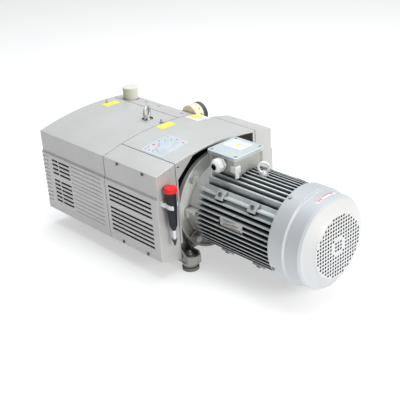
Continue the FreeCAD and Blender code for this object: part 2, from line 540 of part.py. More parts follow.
# ---------------------------------------------------------------- motor
# flange shield: spigot, mounting flange with four pads, cone to the finned frame
fs = revx([(-24.0, 30.0), (-24.0, 114.8), (-20.0, 114.8), (-20.0, FLANGE_R), (FLANGE_X, FLANGE_R), (FLANGE_X, 112.0),
           (FLANGE_X + 4, 110.5), (10.0, 108.5), (26.0, 105.5), (FIN_X0, 104.0), (FIN_X0, 42.0), (10.0, 42.0), (10.0, 30.0)])
pads_ = []
for a in (45, 135, 225, 315):
    c, s_ = math.cos(math.radians(a)), math.sin(math.radians(a))
    pads_.append(cylx(13.0, FLANGE_X, FLANGE_X + 3.0, FLANGE_PCD_R * c, AX_Z + FLANGE_PCD_R * s_))
    # frame screws' bosses on the cone
    pads_.append(cylx(9.0, 0.0, FIN_X0, 103.0 * math.cos(math.radians(a + 6)), AX_Z + 103.0 * math.sin(math.radians(a + 6))))
# horizontal ledges that carry the flange's lower, recessed half
for sg in (-1, 1):
    a, b = sorted((sg * 96.0, sg * 131.0))
    pads_.append(box(FLANGE_X, FIN_X0 - 3.0, a, b, 150.0, 158.0))
    a, b = sorted((sg * 124.0, sg * 131.0))
    pads_.append(box(FLANGE_X, FLANGE_X + 14.0, a, b, 134.0, 152.0))
    a, b = sorted((sg * 90.0, sg * 100.0))
    pads_.append(box(FLANGE_X, FLANGE_X + 6.0, a, b, 96.0, 134.0))
fs = fs.fuse(pads_).removeSplitter()
rec = []
for a0, a1 in ((188, 216), (234, 262), (278, 306), (324, 352)):
    ring = tubex(143.0, 117.0, FLANGE_X - 5.0, FLANGE_X + 0.01 + 0.0)
    am, w = math.radians((a0 + a1) / 2), (a1 - a0) / 2
    p = [V(FLANGE_X - 6, 0, 0), V(FLANGE_X - 6, 190 * math.cos(math.radians(a0)), 190 * math.sin(math.radians(a0))), V(FLANGE_X - 6, 190 * math.cos(math.radians(a1)), 190 * math.sin(math.radians(a1)))]
    wf = Part.Face(Part.makePolygon(p + [p[0]])).extrude(V(10, 0, 0))
    wf.translate(V(0, 0, AX_Z))
    rec.append(ring.common(wf))
holes_ = [cylx(7.25, -30, 10, FLANGE_PCD_R * math.cos(math.radians(a)), AX_Z + FLANGE_PCD_R * math.sin(math.radians(a))) for a in (45, 135, 225, 315)]
fs = fs.cut(rec + holes_ + [tubex(100.0, 45.0, -26.0, 2.0), tubex(98.0, 46.0, 14.0, FIN_X0 + 1), cylx(20.0, -30, 30)])
out("motor_flange_shield", fs)

fb = []
for a in (45, 135, 225, 315):
    y, z = FLANGE_PCD_R * math.cos(math.radians(a)), AX_Z + FLANGE_PCD_R * math.sin(math.radians(a))
    fb.append(fuse(hexx(19.0, FLANGE_X + 5.5, FLANGE_X + 13.5, y, z), cylx(11.5, FLANGE_X + 3.0, FLANGE_X + 5.5, y, z), cylx(6.0, -32.0, FLANGE_X + 3.0, y, z), cylx(4.6, FLANGE_X + 13.5, FLANGE_X + 14.3, y, z)))
out("flange_bolts", group(fb))


# finned frame
def finned_frame():
    s = tubex(FRAME_R, 99.0, FIN_X0, FIN_X1 + 4)
    envelope = cylx(FIN_R, FIN_X0 + 2, FIN_X1)
    fins = []
    for sg in (-1, 1):
        for i in range(-6, 6):
            z = AX_Z + 15.0 * i + 4.0
            a, b = sorted((sg * 60.0, sg * 135.0))
            fins.append(box(FIN_X0 + 2, FIN_X1, a, b, z - 1.9, z + 1.9))
    for sg in (-1, 1):
        for i in range(-5, 6):
            y = 14.0 * i
            a, b = sorted((sg * 70.0, sg * 135.0))
            fins.append(box(FIN_X0 + 2, FIN_X1, y - 1.9, y + 1.9, AX_Z + a, AX_Z + b))
    comp = fins[0].fuse(fins[1:]).common(envelope)
    s = s.fuse(comp)
    # smooth bands at the corners with bosses for bolt-on feet
    extra = []
    for a in (40, 140, -50, -130):
        band = box(FIN_X0 + 2, FIN_X1, 98.0, 121.0, -17.0, 17.0)
        band.rotate(V(0, 0, 0), V(1, 0, 0), a)
        band.translate(V(0, 0, AX_Z))
        extra.append(band)
        for x in (112.0, 231.5):
            b = box(x - 13, x + 13, 98.0, 133.0, -15.0, 15.0)
            b.rotate(V(0, 0, 0), V(1, 0, 0), a)
            b.translate(V(0, 0, AX_Z))
            extra.append(b)
    # saddle for the terminal box and a boss for the eyebolt
    extra.append(box(FIN_X0 + 2, TB_X1 - 6, -46.0, 46.0, AX_Z + 96.0, TB_Z0))
    extra.append(cylz(13.0, 240.0, 274.0, 180.0, 0.0))
    s = s.fuse(extra).removeSplitter()
    s = s.cut([cylx(99.0, FIN_X0 - 1, FIN_X1 + 6), cylz(4.05, 253.0, 280.0, 180.0, 0.0), cylz(20.0, 262.0, TB_Z0 + 1, 77.0, 0.0)])
    # seat for the nameplate
    s = s.cut(box(126.0, 212.0, -140.0, -121.0, 148.5, 177.5))
    return s


out("motor_frame", finned_frame())
out("motor_nameplate", box(127.0, 211.0, -122.5, -121.1, 149.5, 176.5).fuse([cyly(1.8, -124.0, -121.1, 131.5, 163.0), cyly(1.8, -124.0, -121.1, 206.5, 163.0)]).removeSplitter())
bossscr = []
for a in (40, 140, -50, -130):
    for x in (112.0, 231.5):
        c = Part.makeCylinder(6.0, 3.0, V(x, 133.0, 0), V(0, 1, 0)).cut(Part.makeCylinder(3.0, 4.0, V(x, 134.0, 0), V(0, 1, 0)))
        c.rotate(V(0, 0, 0), V(1, 0, 0), a)
        c.translate(V(0, 0, AX_Z))
        bossscr.append(c)
scr += bossscr

rs = revx([(FIN_X1 + 4, 30.0), (FIN_X1 + 4, 104.0), (FIN_X1 + 12, 104.0), (FIN_X1 + 22, 70.0), (FIN_X1 + 32, 42.0), (FIN_X1 + 32, 22.0), (FIN_X1 + 28, 22.0), (FIN_X1 + 28, 30.0)])
out("motor_rear_shield", rs)
out("wound_stator", group([tubex(98.9, 66.0, 78.0, 248.0), tubex(94.0, 70.0, 44.0, 77.9), tubex(94.0, 70.0, 248.1, 282.0)]))
out("motor_rotor", fuse(cylx(19.0, -100.0, 40.0), cylx(22.0, 40.0, 290.0), cylx(17.5, 290.0, 346.0), cylx(14.0, 346.0, 386.0), cylx(65.4, 78.0, 248.0), tubex(62.0, 44.0, 66.0, 78.0), tubex(62.0, 44.0, 248.0, 260.0)))
mo, mi = rings([(11.0, 24.0, 19.0, 40.0, 9, True), (FIN_X1 + 6, FIN_X1 + 27, 17.5, 30.0, 9, True)])
out("bearing_outer_rings", group(po + mo))
out("motor_bearing_inner_rings_and_balls", group(mi))

mf = fuse(tubex(26.0, 14.0, 352.0, 384.0), tubex(60.0, 26.0, 352.0, 356.0))
mb = []
for i in range(9):
    b = box(356.0, 384.0, 24.0, 108.0, -1.5, 1.5)
    b.rotate(V(0, 0, 0), V(1, 0, 0), 40.0 * i)
    b.translate(V(0, 0, AX_Z))
    mb.append(b)
out("motor_fan", fuse(mf, mb, tubex(100.0, 58.0, 352.0, 356.0)).cut(cylx(14.0, 350, 390)))

# fan cowl with a perforated grille
cw = 2.0
co = revx([(COWL_X0, COWL_R0), (COWL_X0 + 48.0, COWL_R0), (COWL_X0 + 52.0, COWL_R1 + 1.0), (COWL_X2, COWL_R1), (COWL_X2 + 7.0, COWL_R1 - 4.5),
           (COWL_X3 - 5.0, GRILLE_R + 4.0), (COWL_X3, GRILLE_R - 3.0), (COWL_X3, 0.0), (COWL_X3 - cw, 0.0), (COWL_X3 - cw, GRILLE_R - 5.0),
           (COWL_X3 - 7.0, GRILLE_R + 1.0), (COWL_X2 + 5.0, COWL_R1 - 7.0), (COWL_X2 - 1.5, COWL_R1 - cw), (COWL_X0 + 51.0, COWL_R1 - 1.8),
           (COWL_X0 + 47.0, COWL_R0 - cw), (COWL_X0, COWL_R0 - cw)])
pitch, hr = 10.3, 3.6
gh = []
for i in range(-8, 9):
    for j in range(-8, 9):
        y, z = i * pitch, j * pitch
        r = math.hypot(y, z)
        if r < 16.0 or 25.0 < r < 85.0:
            gh.append(cylx(hr, COWL_X3 - 8, COWL_X3 + 5, y, AX_Z + z))
for a in (24, 114, 204, 294):
    y, z = math.cos(math.radians(a)), math.sin(math.radians(a))
    gh.append(Part.makeCylinder(2.45, 16.0, V(COWL_X0 + 9, (COWL_R0 - 14.0) * y, AX_Z + (COWL_R0 - 14.0) * z), V(0, y, z)))
out("fan_cowl", co.cut(gh))
for a in (24, 114, 204, 294):
    y, z = math.cos(math.radians(a)), math.sin(math.radians(a))
    s_ = Part.makeCylinder(4.5, 2.5, V(COWL_X0 + 9, COWL_R0 * y, AX_Z + COWL_R0 * z), V(0, y, z))
    st = Part.makeCylinder(2.4, 14.0, V(COWL_X0 + 9, (COWL_R0 - 14.0) * y, AX_Z + (COWL_R0 - 14.0) * z), V(0, y, z))
    scr.append(s_.fuse(st).removeSplitter())

# terminal box
tb = box(TB_X0 + 4, TB_X1 - 4, TB_Y0 + 4, TB_Y1 - 4, TB_Z0, TB_Z1)
tb = tb.makeFillet(8.0, [e for e in tb.Edges if abs(e.tangentAt(e.FirstParameter).z) > 0.9])
cav = box(TB_X0 + 9, TB_X1 - 9, TB_Y0 + 9, TB_Y1 - 9, TB_Z0 + 5, TB_Z1 + 5)
corners = [cylz(9.0, TB_Z0, TB_Z1, x, y) for x in (TB_X0 + 11, TB_X1 - 11) for y in (TB_Y0 + 11, TB_Y1 - 11)]
GL_X, GL_Z = 80.0, 297.0
boss = cyly(16.5, TB_Y0 - 0.0, TB_Y0 + 10.0, GL_X, GL_Z)
pad = box(TB_X1 - 22, TB_X1, TB_Y0, TB_Y0 + 20, TB_Z0, TB_Z0 + 20)
pad = pad.makeFillet(2.5, [e for e in pad.Edges if e.BoundBox.XMin > TB_X1 - 0.01 or e.BoundBox.YMax < TB_Y0 + 0.01])
foot = box(TB_X1 - 5.7, TB_X1 - 0.5, TB_Y0 + 1.0, TB_Y0 + 13.0, TB_Z0 - 14.0, TB_Z0 + 4.0)
pads = [pad, foot]
tb = tb.fuse(pads).cut(cav).fuse(corners + [boss]).removeSplitter()
tb = tb.cut([cyly(10.2, TB_Y0 - 5, TB_Y0 + 20, GL_X, GL_Z), cylz(18.0, TB_Z0 - 2, TB_Z0 + 8, 77.0, 0.0)])
out("terminal_box", tb)
ld = box(TB_X0, TB_X1, TB_Y0, TB_Y1, TB_Z1, LID_Z)
ld = ld.makeFillet(11.0, [e for e in ld.Edges if abs(e.tangentAt(e.FirstParameter).z) > 0.9])
ld = ld.makeFillet(2.0, [e for e in ld.Edges if abs(e.BoundBox.ZMax - LID_Z) < 0.01 and abs(e.BoundBox.ZMin - LID_Z) < 0.01])
lcut = [cylz(5.2, LID_Z - 4.0, LID_Z + 2, x, y) for x in (TB_X0 + 11, TB_X1 - 11) for y in (TB_Y0 + 11, TB_Y1 - 11)]
# grooves along the lid's sides
for a, b, c, d in ((TB_X0 + 22, TB_X1 - 22, TB_Y0 - 1, TB_Y0 + 1.5), (TB_X0 + 22, TB_X1 - 22, TB_Y1 - 1.5, TB_Y1 + 1), (TB_X0 - 1, TB_X0 + 1.5, TB_Y0 + 22, TB_Y1 - 22), (TB_X1 - 1.5, TB_X1 + 1, TB_Y0 + 22, TB_Y1 - 22)):
    lcut.append(box(a, b, c, d, LID_Z - 6.5, LID_Z - 3.5))
ld = ld.cut(lcut)
out("terminal_box_lid", ld)
for x in (TB_X0 + 11, TB_X1 - 11):
    for y in (TB_Y0 + 11, TB_Y1 - 11):
        scr.append(cylz(4.6, LID_Z - 4.0, LID_Z - 0.8, x, y).cut([box(x - 3.4, x + 3.4, y - 0.6, y + 0.6, LID_Z - 2.2, LID_Z), box(x - 0.6, x + 0.6, y - 3.4, y + 3.4, LID_Z - 2.2, LID_Z)]))
# screws of the side covers, the fan cowl and the terminal box lid, and the screws in the frame's foot bosses
out("housing_screws", group(scr))
out("terminal_block", fuse(box(44.0, 104.0, -18.0, 18.0, TB_Z0 + 5, TB_Z0 + 14), [cylz(2.5, TB_Z0 + 14, TB_Z0 + 23, 54.0 + 20 * i, -9.0 + 18 * j) for i in range(3) for j in range(2)]).cut(cylz(18.0, TB_Z0 + 3, TB_Z0 + 7, 77.0, 0)))
# cable gland
out("gland_body", fuse(cyly(10.0, TB_Y0 - 3, TB_Y0 + 9, GL_X, GL_Z), hexy(33.0, TB_Y0 - 7, TB_Y0, GL_X, GL_Z), cyly(13.5, TB_Y0 - 24, TB_Y0 - 7, GL_X, GL_Z)).cut(cyly(8.5, TB_Y0 - 40, TB_Y0 + 20, GL_X, GL_Z)))
gn = hexy(34.0, TB_Y0 - 31, TB_Y0 - 9, GL_X, GL_Z).common(fuse(Part.makeCone(12.5, 19.7, 10.0, V(GL_X, TB_Y0 - 31, GL_Z), V(0, 1, 0)), cyly(19.7, TB_Y0 - 21, TB_Y0 - 9, GL_X, GL_Z)))
out("gland_nut", gn.cut([cyly(13.6, TB_Y0 - 25, TB_Y0 - 5, GL_X, GL_Z), cyly(8.5, TB_Y0 - 40, TB_Y0, GL_X, GL_Z)]))
me, ME_Z = eyebolt(180.0, 0.0, 274.0, 18.0, 10.5, 9.0, 4.0, 20.0, 42.0)
out("motor_eyebolt", me)

# ---------------------------------------------------------------- grease gun in its clip on the motor end
GX, GY = 20.0, -198.0
GUN_R = 14.6
out("grease_gun_barrel", fuse(cylz(GUN_R, 205.0, 245.0, GX, GY), Part.makeCone(11.0, GUN_R, 63.0, V(GX, GY, 142.0), V(0, 0, 1)),
                              Part.makeCone(6.0, 11.0, 14.0, V(GX, GY, 128.0), V(0, 0, 1))).cut([cylz(9.0, 147.0, 240.0, GX, GY), cylz(3.2, 120.0, 150.0, GX, GY)]))
gc = cylz(18.2, 245.0, 258.5, GX, GY)
gc = gc.makeFillet(2.0, [e for e in gc.Edges if abs(e.BoundBox.ZMax - 258.5) < 0.01 and abs(e.BoundBox.ZMin - 258.5) < 0.01])
gc = gc.cut([cylz(1.0, 244.0, 254.0, GX + 18.9 * math.cos(math.radians(12 * i)), GY + 18.9 * math.sin(math.radians(12 * i))) for i in range(30)])
out("grease_gun_cap", gc)
out("grease_gun_nozzle", fuse(cylz(5.0, 100.9, 127.8, GX, GY), cylz(3.0, 127.8, 148.0, GX, GY), Part.makeCone(1.6, 8.4, 22.0, V(GX, GY, 78.9), V(0, 0, 1))))
# spring clip: base on the cover, a strap to an open ring round the barrel, its free end reaching round to the front
CZ0, CZ1 = 192.0, 218.0
free = cylz(GUN_R + 0.25, 180.0, 230.0, GX, GY)
ringc = cylz(GUN_R + 3.0, CZ0, CZ1, GX, GY).cut(free)
ringc = ringc.cut(box(GX + 7.0, GX + 30, GY - 7.0, GY + 30, 180, 230))
strap = Part.Face(Part.makePolygon([V(0.5, -222.0, CZ0), V(3.2, -222.0, CZ0), V(16.2, -215.0, CZ0), V(15.0, -212.6, CZ0), V(0.5, -219.6, CZ0), V(0.5, -222.0, CZ0)])).extrude(V(0, 0, CZ1 - CZ0)).cut(free)
arms = box(0.5, GX - 10.0, GY - 4, GY + 4, CZ0, CZ1).cut(free)
lean = Part.Face(Part.makePolygon([V(-1, -240.0, 204.0), V(-1, -240.0, 217.0), V(40, -240.0, 206.5), V(40, -240.0, 195.0), V(-1, -240.0, 204.0)])).extrude(V(0, 80.0, 0))
cl = box(0.0, 2.0, GY - 25, GY + 14, 203.0, 217.5)
out("grease_gun_clip", cl.fuse(ringc.fuse([strap, arms]).common(lean)).removeSplitter())

# ---------------------------------------------------------------- write
bad = []
for name, s in NODES.items():
    sol = s.Solids
    ok = len(sol) > 0 and all(k.isValid() and k.Volume > 0 for k in sol)
    if not ok:
        bad.append(name)
    s2 = sol[0] if len(sol) == 1 else Part.makeCompound(sol)
    s2.exportStep("parts/%s.step" % name)
print("nodes", len(NODES), "bad", bad)
big = Part.makeCompound(list(NODES.values())).BoundBox
print("bbox", [round(v, 2) for v in (big.XMin, big.XMax, big.YMin, big.YMax, big.ZMin, big.ZMax)])
print("eye z", EYE_Z - FLOOR_Z, ME_Z - FLOOR_Z, "shift", SHIFT)
for n, s in NODES.items():
    print("  ", n, len(s.Solids), round(s.Volume / 1000.0, 1))
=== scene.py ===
# Rotary vane vacuum pump: materials, labels, linings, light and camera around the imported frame.
import bpy
import math
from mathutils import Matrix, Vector


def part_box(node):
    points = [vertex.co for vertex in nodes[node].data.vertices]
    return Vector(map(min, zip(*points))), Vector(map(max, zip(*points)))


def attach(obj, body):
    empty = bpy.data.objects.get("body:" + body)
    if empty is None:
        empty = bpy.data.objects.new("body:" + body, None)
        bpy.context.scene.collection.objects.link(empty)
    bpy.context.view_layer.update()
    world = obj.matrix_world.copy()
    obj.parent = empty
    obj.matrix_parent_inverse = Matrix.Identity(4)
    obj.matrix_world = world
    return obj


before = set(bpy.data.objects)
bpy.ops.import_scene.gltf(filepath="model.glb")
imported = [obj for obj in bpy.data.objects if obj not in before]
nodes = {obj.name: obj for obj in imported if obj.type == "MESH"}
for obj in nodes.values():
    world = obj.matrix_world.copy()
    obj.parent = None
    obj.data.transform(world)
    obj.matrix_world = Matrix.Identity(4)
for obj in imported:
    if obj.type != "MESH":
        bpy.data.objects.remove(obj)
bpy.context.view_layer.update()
scene = bpy.context.scene

# ---------------------------------------------------------------- camera
AZ, EL, ROLL = (math.radians(a) for a in (48.016, 26.285, -3.729))
back = Vector((math.sin(AZ) * math.cos(EL), -math.cos(AZ) * math.cos(EL), math.sin(EL)))
side = (-back).cross(Vector((0, 0, 1))).normalized()
up = side.cross(-back)
right = math.cos(ROLL) * side + math.sin(ROLL) * up
top = -math.sin(ROLL) * side + math.cos(ROLL) * up
cam_data = bpy.data.cameras.new("camera")
cam_data.lens = 74.01
cam_data.sensor_width = 36.0
cam_data.clip_end = 60.0
camera = bpy.data.objects.new("camera", cam_data)
scene.collection.objects.link(camera)
m = camera.matrix_world.copy()
for row in range(3):
    m[row][0], m[row][1], m[row][2] = right[row], top[row], back[row]
m[0][3], m[1][3], m[2][3] = 1.793, -1.4805, 1.2312
camera.matrix_world = m
scene.camera = camera
scene.view_settings.view_transform = "Standard"

# the hood's frame: millimetres, x from the hood's motor end, y from the shaft, z above the feet plane less 27
OX, OZ = 0.232, 0.027


def P(x, y, z):
    return Vector((x / 1000 + OX, y / 1000, z / 1000 + OZ))


R_TOP, C_TOP = 871.2, -549.2


def ztop(y):
    return C_TOP + math.sqrt(R_TOP * R_TOP - y * y)


# ---------------------------------------------------------------- materials
class Mat:
    """Builds one procedural material, in object space, so it stays with the piece."""

    def __init__(self, name):
        self.m = bpy.data.materials.new(name)
        self.m.use_nodes = True
        self.nt = self.m.node_tree
        self.nt.nodes.clear()
        self.out = self.n("ShaderNodeOutputMaterial")
        self.b = self.n("ShaderNodeBsdfPrincipled")
        self.link(self.b.outputs[0], self.out.inputs[0])
        self.co = self.n("ShaderNodeTexCoord").outputs["Object"]

    def n(self, kind, **kw):
        node = self.nt.nodes.new(kind)
        for k, v in kw.items():
            setattr(node, k, v)
        return node

    def link(self, a, b):
        self.nt.links.new(a, b)

    def put(self, socket, value):
        if isinstance(value, bpy.types.NodeSocket):
            self.link(value, socket)
        elif isinstance(value, (tuple, list)) and len(value) == 3 and socket.type == "RGBA":
            socket.default_value = (*value, 1.0)
        else:
            socket.default_value = value

    def noise(self, scale, detail=3.0, rough=0.5, stretch=None, distort=0.0):
        t = self.n("ShaderNodeTexNoise")
        t.inputs["Scale"].default_value = scale
        t.inputs["Detail"].default_value = detail
        t.inputs["Roughness"].default_value = rough
        t.inputs["Distortion"].default_value = distort
        co = self.co
        if stretch:
            mp = self.n("ShaderNodeMapping")
            mp.inputs["Scale"].default_value = stretch
            self.link(self.co, mp.inputs["Vector"])
            co = mp.outputs[0]
        self.link(co, t.inputs["Vector"])
        return t.outputs["Fac"] if "Fac" in t.outputs else t.outputs[0]

    def math(self, op, a, b=0.0, clamp=False):
        t = self.n("ShaderNodeMath", operation=op, use_clamp=clamp)
        self.put(t.inputs[0], a)
        self.put(t.inputs[1], b)
        return t.outputs[0]

    def ramp(self, v, lo, hi, to_lo=0.0, to_hi=1.0):
        t = self.n("ShaderNodeMapRange")
        for s, x in zip(t.inputs[:5], (v, lo, hi, to_lo, to_hi)):
            self.put(s, x)
        return t.outputs[0]

    def mix(self, f, a, b):
        t = self.n("ShaderNodeMix", data_type="RGBA")
        self.put(t.inputs[0], f)
        self.put(t.inputs[6], a)
        self.put(t.inputs[7], b)
        return t.outputs[2]

    def bump(self, height, dist, strength=1.0, normal=None):
        t = self.n("ShaderNodeBump")
        t.inputs["Strength"].default_value = strength
        t.inputs["Distance"].default_value = dist
        self.link(height, t.inputs["Height"])
        if normal is not None:
            self.link(normal, t.inputs["Normal"])
        return t.outputs[0]

    def bevel(self, radius):
        t = self.n("ShaderNodeBevel", samples=6)
        t.inputs["Radius"].default_value = radius
        return t.outputs[0]

    def edge(self, bevelled):
        """1 on a rounded edge, 0 on a flat face."""
        g = self.n("ShaderNodeNewGeometry").outputs["Normal"]
        t = self.n("ShaderNodeVectorMath", operation="DOT_PRODUCT")
        self.link(bevelled, t.inputs[0])
        self.link(g, t.inputs[1])
        return self.ramp(t.outputs["Value"], 0.995, 0.86)

    def ao(self, dist):
        t = self.n("ShaderNodeAmbientOcclusion", samples=8)
        t.inputs["Distance"].default_value = dist
        return t.outputs["AO"]


def surface(name, col, col2=None, mottle=7.0, calm=None, reach=(0.75, 0.1), metal=0.0, rough=(0.35, 0.5), grain=(900.0, 0.00006),
            grain2=None, edge=None, edge_amount=0.6, edge_r=0.0012, ao_shade_colour=(0.03, 0.03, 0.03), ao_shade_dist=0.02,
            ao_shade_amount=0.5, coat=0.0, stretch=None, speck=None, spec=0.5, extra=None):
    s = Mat(name)
    col2 = col2 or tuple(c * 0.9 for c in col)
    c = s.mix(s.ramp(s.noise(mottle, 4.0, 0.6), 0.35, 0.65), col, col2)
    if speck:  # fine flake or cast speckle: (scale, colour, amount)
        c = s.mix(s.ramp(s.noise(speck[0], 2.0, 0.6), 0.52, 0.72, 0.0, speck[2]), c, speck[1])
    if extra:
        c = extra(s, c)
    nb = s.bevel(edge_r)
    # Painted highlight and edge wear: rounded edges are lightened towards the edge colour, patchy by noise.
    if edge:
        edge_wear_and_highlight = s.math("MULTIPLY", s.edge(nb), s.ramp(s.noise(55.0, 3.0, 0.6), 0.3, 0.6, 0.35, 1.0))
        if calm:
            edge_wear_and_highlight = s.math("MULTIPLY", edge_wear_and_highlight, calm(s))
        c = s.mix(s.math("MULTIPLY", edge_wear_and_highlight, edge_amount), c, edge)
    # Painted shade: the colour is darkened towards the shade colour in corners, creases and gaps that ambient occlusion
    # finds.
    if ao_shade_amount:
        d = s.ramp(s.ao(ao_shade_dist), reach[0], reach[1], 0.0, ao_shade_amount)
        if calm:
            d = s.math("MULTIPLY", d, calm(s))
        c = s.mix(d, c, ao_shade_colour)
    s.put(s.b.inputs["Base Color"], c)
    s.b.inputs["Metallic"].default_value = metal
    r = s.ramp(s.noise(mottle * 6, 4.0, 0.65, stretch=stretch), 0.3, 0.7, rough[0], rough[1])
    s.link(r, s.b.inputs["Roughness"])
    s.b.inputs["Specular IOR Level"].default_value = spec
    if coat:
        s.b.inputs["Coat Weight"].default_value = coat
        s.b.inputs["Coat Roughness"].default_value = 0.25
    n = s.bump(s.noise(grain[0], 3.0, 0.6, stretch=stretch), grain[1], 1.0, nb)
    if grain2:
        n = s.bump(s.noise(grain2[0], 2.0, 0.5), grain2[1], 1.0, n)
    s.link(n, s.b.inputs["Normal"])
    return s.m


def past(s, axis, at, soft=0.0003):
    """1 where the coordinate along an axis is over `at` (metres, at rest), else 0."""
    sep = s.n("ShaderNodeSeparateXYZ")
    s.link(s.co, sep.inputs[0])
    return s.ramp(sep.outputs["XYZ".index(axis)], at - soft, at + soft)


def by_height(s, c, z, low, high, soft=0.0003):
    """Colour `low` under the height z and `high` over it."""
    return s.mix(past(s, "Z", z, soft), low, high)


def within(s, axis, centre, radius, soft=0.0003):
    """1 within a radius of a line along an axis, else 0. The centre is in metres."""
    keep = [i for i in range(3) if i != "XYZ".index(axis)]
    sep = s.n("ShaderNodeSeparateXYZ")
    s.link(s.co, sep.inputs[0])
    parts = []
    for k, c in zip(keep, centre):
        d = s.math("SUBTRACT", sep.outputs[k], c)
        parts.append(s.math("MULTIPLY", d, d))
    r = s.math("SQRT", s.math("ADD", *parts))
    return s.ramp(r, radius + soft, radius - soft)


AXIS = (0.0, 0.144 + OZ)


def rib_zone(s):
    """1 on the shallow ribs of the lower case, 0 elsewhere."""
    ribs = s.math("MULTIPLY", s.math("SUBTRACT", 1.0, past(s, "X", -0.001)), past(s, "X", -0.176))
    return s.math("MULTIPLY", ribs, s.math("SUBTRACT", 1.0, past(s, "Z", 0.240)))


def fine_ribs(s):
    """Less edge light and shade on the shallow ribs, 1 elsewhere."""
    return s.math("SUBTRACT", 1.0, rib_zone(s))


def grooves_painted_light(s, c):
    """Painted light: the grooves between the shallow ribs, where shade falls, are painted paler."""
    groove_occlusion = s.ramp(s.ao(0.010), 0.92, 0.45, 0.0, 0.75)
    return s.mix(s.math("MULTIPLY", rib_zone(s), groove_occlusion), c, (0.85, 0.85, 0.84))


hood = surface("hood_paint", (0.470, 0.468, 0.456), (0.515, 0.515, 0.505), mottle=5.0, metal=0.30, rough=(0.33, 0.43),
               grain=(1500.0, 0.00003), edge=(0.95, 0.95, 0.94), edge_amount=0.75, edge_r=0.0018,
               ao_shade_colour=(0.012, 0.012, 0.012), ao_shade_dist=0.007, ao_shade_amount=0.9, calm=fine_ribs, extra=grooves_painted_light,
               speck=(2600.0, (0.64, 0.64, 0.64), 0.35))
# Painted shade: the iron parts inside the hood get a darker iron than the adapter housing, for the shade inside the
# hood.
iron = surface("pump_iron", (0.150, 0.145, 0.135), (0.220, 0.215, 0.200), mottle=22.0, metal=0.35, rough=(0.42, 0.62),
               grain=(420.0, 0.00035), grain2=(120.0, 0.0003), edge=(0.62, 0.62, 0.60), edge_amount=0.9, edge_r=0.0018,
               ao_shade_colour=(0.010, 0.010, 0.010), ao_shade_dist=0.03, ao_shade_amount=0.85)
# Painted shade: the adapter housing is painted near black above 0.105 m, for the shade inside the hood.
housing = surface("adapter_iron", (0.290, 0.282, 0.266), (0.380, 0.370, 0.350), mottle=22.0, metal=0.35, rough=(0.42, 0.60),
                  grain=(420.0, 0.00035), grain2=(120.0, 0.0003), edge=(0.72, 0.72, 0.70), edge_amount=1.0, edge_r=0.0020,
                  ao_shade_colour=(0.006, 0.006, 0.006), ao_shade_dist=0.03, ao_shade_amount=0.95, reach=(0.80, 0.30),
                  extra=lambda s, c: by_height(s, c, 0.105, c, (0.012, 0.012, 0.013), 0.020))
motor = surface("motor_paint", (0.400, 0.436, 0.446), (0.490, 0.522, 0.526), mottle=14.0, metal=0.25, rough=(0.32, 0.48),
                grain=(520.0, 0.00018), edge=(0.80, 0.84, 0.84), edge_amount=0.9, edge_r=0.0012,
                ao_shade_colour=(0.003, 0.004, 0.005), ao_shade_dist=0.022, ao_shade_amount=1.0, reach=(0.72, 0.30))
flange = surface("motor_flange_paint", (0.600, 0.612, 0.595), (0.700, 0.705, 0.675), mottle=16.0, metal=0.35, rough=(0.30, 0.46),
                 grain=(480.0, 0.00022), edge=(0.93, 0.94, 0.92), edge_amount=1.0, edge_r=0.0022,
                 ao_shade_colour=(0.012, 0.014, 0.014), ao_shade_dist=0.010, ao_shade_amount=0.9, reach=(0.85, 0.30),
                 extra=lambda s, c: by_height(s, c, 0.140, (0.215, 0.198, 0.178), c, 0.045))


def height(s):
    """Object height in metres."""
    sep = s.n("ShaderNodeSeparateXYZ")
    tc = s.n("ShaderNodeTexCoord")
    s.link(tc.outputs["Object"], sep.inputs[0])
    return sep.outputs[2]


def cowl_painted_light_and_shade(s, c):
    """Painted light and shade: the cowl's top is painted a little duller and its nose paler, and its inside and the
    edges of its holes are painted dark as painted shade.
    """
    nose = past(s, "X", 0.414 + OX, 0.003)
    body = s.mix(s.ramp(height(s), 0.19, 0.30, 0.0, 1.0), c, (0.385, 0.400, 0.418))
    c = s.mix(nose, body, s.mix(s.ramp(height(s), 0.17, 0.27, 0.0, 1.0), (0.54, 0.555, 0.57), (0.52, 0.52, 0.505)))
    front = past(s, "X", 0.434 + OX - 0.0004, 0.00015)
    disc = within(s, "X", AXIS, 0.0889)
    return s.mix(s.math("MULTIPLY", disc, s.math("SUBTRACT", 1.0, front)), c, (0.006, 0.006, 0.007))


cowl = surface("cowl_paint", (0.580, 0.605, 0.635), (0.620, 0.642, 0.665), mottle=6.0, metal=0.10, rough=(0.48, 0.58),
               grain=(1200.0, 0.00004), edge=(0.95, 0.95, 0.93), edge_amount=0.9, edge_r=0.0018,
               ao_shade_colour=(0.015, 0.015, 0.016), ao_shade_dist=0.005, ao_shade_amount=0.6, coat=0.10, extra=cowl_painted_light_and_shade)
def corner(s, c):
    """The terminal box's corner under the lid, painted lighter."""
    on = s.math("MULTIPLY", past(s, "X", 0.1105 + OX), s.math("SUBTRACT", 1.0, past(s, "Y", -0.0395)))
    on = s.math("MULTIPLY", on, s.math("SUBTRACT", 1.0, past(s, "Z", 0.3005 + OZ)))
    return s.mix(on, c, (0.74, 0.75, 0.74))


